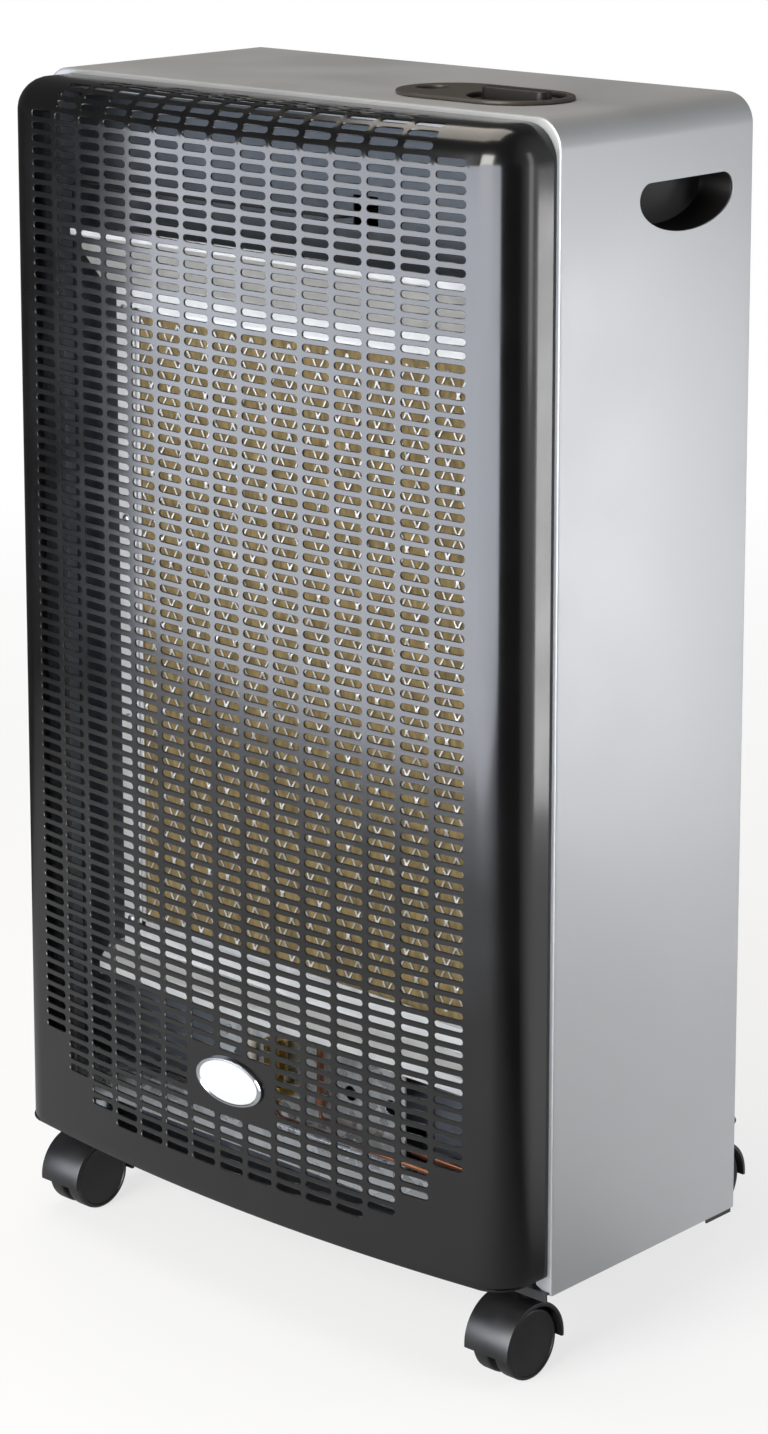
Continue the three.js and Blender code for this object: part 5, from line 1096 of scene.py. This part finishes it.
# The lower edge is turned back into a lip.
LIP = 10.0
path = [on_face(u, COVER_BOTTOM, -COVER_SHEET / 2)[:2] for u in columns]
centre_line = EDGE_RADIUS - COVER_SHEET / 2
round_end = [(x + FLAT_HALF, y - SIDE_WALL) for x, y in arc(0, 0, centre_line, centre_line, -90, 0, 8)]
path += [*round_end, (COVER_HALF - COVER_SHEET / 2, COVER_BACK)]
path = [(-x, y) for x, y in reversed(path[len(columns) :])] + path
vertices, faces = [], []
for i, (x, y) in enumerate(path):
    ahead = Vector(path[min(i + 1, len(path) - 1)]) - Vector(path[max(i - 1, 0)])
    inward = Vector((-ahead.y, ahead.x)).normalized() * LIP
    for z in (COVER_BOTTOM, COVER_BOTTOM + COVER_SHEET):
        vertices += [place(x, y, z), place(x + inward.x, y + inward.y, z)]
for i in range(len(path) - 1):
    a, b = 4 * i, 4 * i + 4
    faces += [(a, b, b + 1, a + 1), (a + 2, a + 3, b + 3, b + 2)]
    faces += [(a, a + 2, b + 2, b), (a + 1, b + 1, b + 3, a + 3)]
end = 4 * (len(path) - 1)
faces += [(0, 1, 3, 2), (end, end + 2, end + 3, end + 1)]
lip = mesh_object("cover_lip", vertices, faces, black_enamel)
dress(joined("front_cover_pan", pan, lip), "cabinet", "black_enamel", "front_cover")

# ------------------------------------------------------------------ badge
# A small domed oval of white enamel in a bright rim, pinned on the bare place of the cover. It is left
# without any mark.

# Vitreous enamel: hard and white, with a soft sheen.
white_enamel = surface("white vitreous enamel", "#cfd1d6", 0.45, tint=0.01)
# Polished nickel: a thin bright rim.
nickel = surface("polished nickel", "#c9ccd0", 0.16, metallic=1.0, tint=0.03)

BADGE_Z = 93.8
BADGE_BACK = -(SIDE_WALL + EDGE_RADIUS + BOW + 0.3)
BADGE_HALF_X, BADGE_HALF_Z = 28.0, 14.6
BADGE_STEPS = 72
BADGE_TOP = 2.2
BADGE_RINGS = [(1.0, 0), (1.0, 1.5), (0.975, 2.0), (0.93, 2.1), (0.9, 1.7), (0.88, 1.7)]
BADGE_RINGS += [(0.6, 2.0), (0.3, 2.15)]
ENAMEL_SHARE = 0.78  # the enamelled part's size, as a squared share of the oval's
vertices = []
for scale, rise in BADGE_RINGS:
    outline = arc(0, BADGE_Z, BADGE_HALF_X * scale, BADGE_HALF_Z * scale, 0, 360, BADGE_STEPS)[:-1]
    vertices += [place(x, BADGE_BACK - rise, z) for x, z in outline]
faces = skin(range(0, len(vertices), BADGE_STEPS), BADGE_STEPS)
last, middle = len(vertices) - BADGE_STEPS, len(vertices)
vertices.append(place(0, BADGE_BACK - BADGE_TOP, BADGE_Z))
faces += [(last + i, last + (i + 1) % BADGE_STEPS, middle) for i in range(BADGE_STEPS)]
faces.append(tuple(range(BADGE_STEPS)))
badge = mesh_object("badge_oval", vertices, faces, nickel)
badge.data.materials.append(white_enamel)
for polygon in badge.data.polygons:
    x = polygon.center.x / MM / BADGE_HALF_X
    z = ((polygon.center.z - BASE) / MM - BADGE_Z) / BADGE_HALF_Z
    if x * x + z * z < ENAMEL_SHARE and polygon.center.y < place(0, BADGE_BACK - 1, 0).y:
        polygon.material_index = 1
dress(badge, "cabinet", "white_badge", "badge_plate")

# ------------------------------------------------------------------ base tray
# A pressed steel tray as wide as the cabinet in front and round behind, under the bottle. Its sides are
# screwed to the cabinet and its edge is turned down.

# Satin powder coat in dark grey.
tray_coat = surface("satin dark grey powder coat", "#2e2f31", 0.45, tint=0.08, grain=0.8, relief=0.02)
worked_copy("base_tray", tray_coat, "dark_tray", 0.3)

# ------------------------------------------------------------------ rear cover
# The lift-off cover of the bottle's bay: a rolled drum with a lid, spot-welded to a flat sheet that
# closes the opening. Two groups of slots let air in and gas out.

REAR_RADIUS = 159.2
REAR_SHEET = 1.0
REAR_HALF = 206.0
REAR_FRONT = SHELL_DEPTH + 0.3
REAR_AXIS = 180.0
REAR_BOTTOM = 2.5
REAR_TOP = measured("rear_cover")[1][2]
REAR_CORNER = 4.0
FILLET = 3.0
DRUM_TOP = 640.0
LID = 3.6
VENTS = 4
VENT_LENGTH = 110.0
VENT_HEIGHT = 6.0
VENT_PITCH = 18.0
BEHIND = 360  # where the cutters end, behind the drum
# Each rear castor's socket stands in a relief of the drum's lower edge.
RELIEF_X = 120.0
RELIEF = oblong(-10.2, -5, 10.2, 16.5)

fillet_y = REAR_FRONT + REAR_SHEET + FILLET
foot = math.sqrt((REAR_RADIUS + FILLET) ** 2 - (fillet_y - REAR_AXIS) ** 2)
meet = math.degrees(math.atan2(fillet_y - REAR_AXIS, foot))
half_path = [(REAR_HALF, REAR_FRONT + REAR_SHEET)]
half_path += arc(foot, fillet_y, FILLET, FILLET, 270, 180 + meet, 5)
half_path += arc(0, REAR_AXIS, REAR_RADIUS, REAR_RADIUS, meet, 90, 40)
path = half_path + [(-x, y) for x, y in reversed(half_path[:-1])]
vertices = [place(x, y, z) for z in (REAR_BOTTOM, DRUM_TOP - 2.5) for x, y in path]
drum = mesh_object("rear_drum", vertices, skin((0, len(path)), len(path), False), black_enamel, 40)
if sum(p.normal.y for p in drum.data.polygons) < 0:
    drum.data.flip_normals()
thickened(drum, REAR_SHEET, 40)
cutters = []
for level in (REAR_BOTTOM + 2 * VENT_PITCH, DRUM_TOP - (VENTS + 2) * VENT_PITCH):
    for row in range(VENTS):
        outline = stadium(0, level + row * VENT_PITCH + VENT_HEIGHT / 2, VENT_LENGTH, VENT_HEIGHT, 8)
        cutters.append(prism("vent", outline, BEHIND - 100, BEHIND, "y", black_enamel))
for hand in (-1, 1):
    outline = [(hand * RELIEF_X + x, z) for x, z in RELIEF]
    cutters.append(prism("relief", outline, BEHIND - 110, BEHIND - 60, "y", black_enamel))
cut_by(drum, *cutters)
lid = arc(0, REAR_AXIS, REAR_RADIUS, REAR_RADIUS, 0, 180, 80)
lid = prism("rear_lid", lid, DRUM_TOP - LID, DRUM_TOP, "z", black_enamel)
softened(lid, 2.0, 4, 50)
upper = [(-REAR_HALF, DRUM_TOP - 3), (REAR_HALF, DRUM_TOP - 3)]
for x, start in ((REAR_HALF - REAR_CORNER, 0), (REAR_CORNER - REAR_HALF, 90)):
    upper += arc(x, REAR_TOP - REAR_CORNER, REAR_CORNER, REAR_CORNER, start, start + 90, 6)
flat_sheet = prism("rear_sheet", upper, REAR_FRONT, REAR_FRONT + REAR_SHEET, "y", black_enamel)
dress(joined("rear_cover_pressing", drum, lid, flat_sheet), "rear_cover", "black_enamel", "rear_cover")

# ------------------------------------------------------------------ castors
# Four twin-wheel castors. A moulded hood covers the upper half of both wheels and holds the axle in its
# web; its stem turns in a zinc socket pressed into the tray.

# Moulded nylon: black, slightly waxy, with rubbed edges.
nylon = surface("moulded black nylon", "#1b1b1d", 0.38, tint=0.12, patch=12, grain=0.6, relief=0.01)

WHEEL_RADIUS = 22.0
WHEEL_PROFILE = [(2.8, 0.3), (20.4, 0.3), (21.4, 0.6), (21.9, 1.4), (22.0, 2.4), (22.0, 9.6), (21.8, 10.7)]
WHEEL_PROFILE += [(21.2, 11.6), (20.3, 12.0), (19.5, 11.9), (19.1, 11.3), (18.3, 11.2), (12.0, 11.7)]
WHEEL_PROFILE += [(0, 11.9)]
HOOD_RADIUS = 26.5
HOOD_WALL = 2.6
HOOD_HALF = 17.0
HOOD_DROP = 2.0  # how far below the axle the hood ends
HOOD_EDGE = [(HOOD_WALL, 0), (0.9, 0), (0.25, 0.3), (0, 1.0)]
HOOD_STEPS = 56
TRAIL = 16.0
WEB_HALF = 2.5
WEB_RADIUS = HOOD_RADIUS - HOOD_WALL + 0.4
AXLE_BOSS = 5.0
BOSS_BOTTOM = 26.0
BOSS_RADIUS = 8.0
BOSS_BORE = 4.4
BORE_DEPTH = 8.0
STEM_RADIUS = 4.0
SOCKET_RADIUS = 7.0
SOCKET_BORE = STEM_RADIUS + 0.3
for corner in ("front_left", "front_right", "rear_left", "rear_right"):
    stem_low, stem_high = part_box(f"castor_stem_{corner}")
    cx, cy = (stem_low.x + stem_high.x) / 2, (stem_low.y + stem_high.y) / 2
    axle = Vector((cx, cy - TRAIL * MM, WHEEL_RADIUS * MM))
    for word, hand in (("left", -1), ("right", 1)):
        face = axle + Vector((hand * WEB_HALF * MM, 0, 0))
        wheel = lathe(f"wheel_{word}_{corner}", WHEEL_PROFILE, face, nylon, 72, 40, (hand, 0, 0))
        dress(wheel, f"wheels_{corner}", "castor_plastic", f"castor_wheel_{word}_{corner}")

    cut = math.degrees(math.asin(-HOOD_DROP / HOOD_RADIUS))
    section = [(HOOD_RADIUS - inset, x - HOOD_HALF) for inset, x in HOOD_EDGE]
    section += [(radius, -x) for radius, x in reversed(section)]
    section += [(HOOD_RADIUS - HOOD_WALL, WEB_HALF), (HOOD_RADIUS - HOOD_WALL, -WEB_HALF)]
    vertices = []
    for i in range(HOOD_STEPS + 1):
        a = math.radians(cut + (180 - 2 * cut) * i / HOOD_STEPS)
        for radius, x in section:
            vertices.append(axle + Vector((x, radius * math.cos(a), radius * math.sin(a))) * MM)
    band = mesh_object("hood_band", vertices, capped(len(vertices), len(section)), nylon, 40)
    start = math.degrees(math.asin(-HOOD_DROP / WEB_RADIUS))
    web = arc(0, 0, WEB_RADIUS, WEB_RADIUS, start, 180 - start, 48)
    web += arc(0, 0, AXLE_BOSS, AXLE_BOSS, 204, 336, 14)
    centre = (axle - place(0, 0, 0)) / MM
    web = [(y + centre.y, z + centre.z) for y, z in web]
    web = prism("hood_web", web, centre.x - WEB_HALF, centre.x + WEB_HALF, "x", nylon)
    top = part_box(f"castor_hood_{corner}")[1].z / MM
    boss = [(0, BOSS_BOTTOM), (BOSS_RADIUS, BOSS_BOTTOM), (BOSS_RADIUS, top - 0.8)]
    boss += [(BOSS_RADIUS - 0.7, top), (BOSS_BORE, top), (BOSS_BORE, top - BORE_DEPTH)]
    boss.append((0, top - BORE_DEPTH))
    boss = lathe("hood_boss", boss, (cx, cy, 0), nylon, 48)
    hood = joined(f"castor_hood_moulding_{corner}", band, web, boss)
    dress(hood, f"castor_{corner}", "castor_plastic", f"castor_hood_{corner}")

    low, high = stem_low.z / MM, stem_high.z / MM
    stem = [(0, low), (STEM_RADIUS - 0.6, low), (STEM_RADIUS, low + 0.6), (STEM_RADIUS, high - 1)]
    stem += [(STEM_RADIUS - 1, high), (0, high)]
    stem = lathe(f"castor_pin_{corner}", stem, (cx, cy, 0), zinc, 32)
    dress(stem, f"castor_{corner}", "bright_steel", f"castor_stem_{corner}")
    socket_low, socket_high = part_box(f"castor_socket_{corner}")
    low, high = socket_low.z / MM, socket_high.z / MM
    flange = (socket_high.x - socket_low.x) / 2 / MM
    socket = [(SOCKET_BORE, low), (flange - 0.5, low), (flange, low + 0.5), (flange - 0.2, low + 1.5)]
    socket += [(SOCKET_RADIUS, low + 1.5), (SOCKET_RADIUS, high - 0.6), (SOCKET_RADIUS - 0.6, high)]
    socket = lathe(f"castor_bush_{corner}", [*socket, (SOCKET_BORE, high)], (cx, cy, 0), zinc, 40)
    dress(socket, "cabinet", "bright_steel", f"castor_socket_{corner}")
    worked_copy(f"castor_axle_{corner}", zinc, "bright_steel", 0.2)
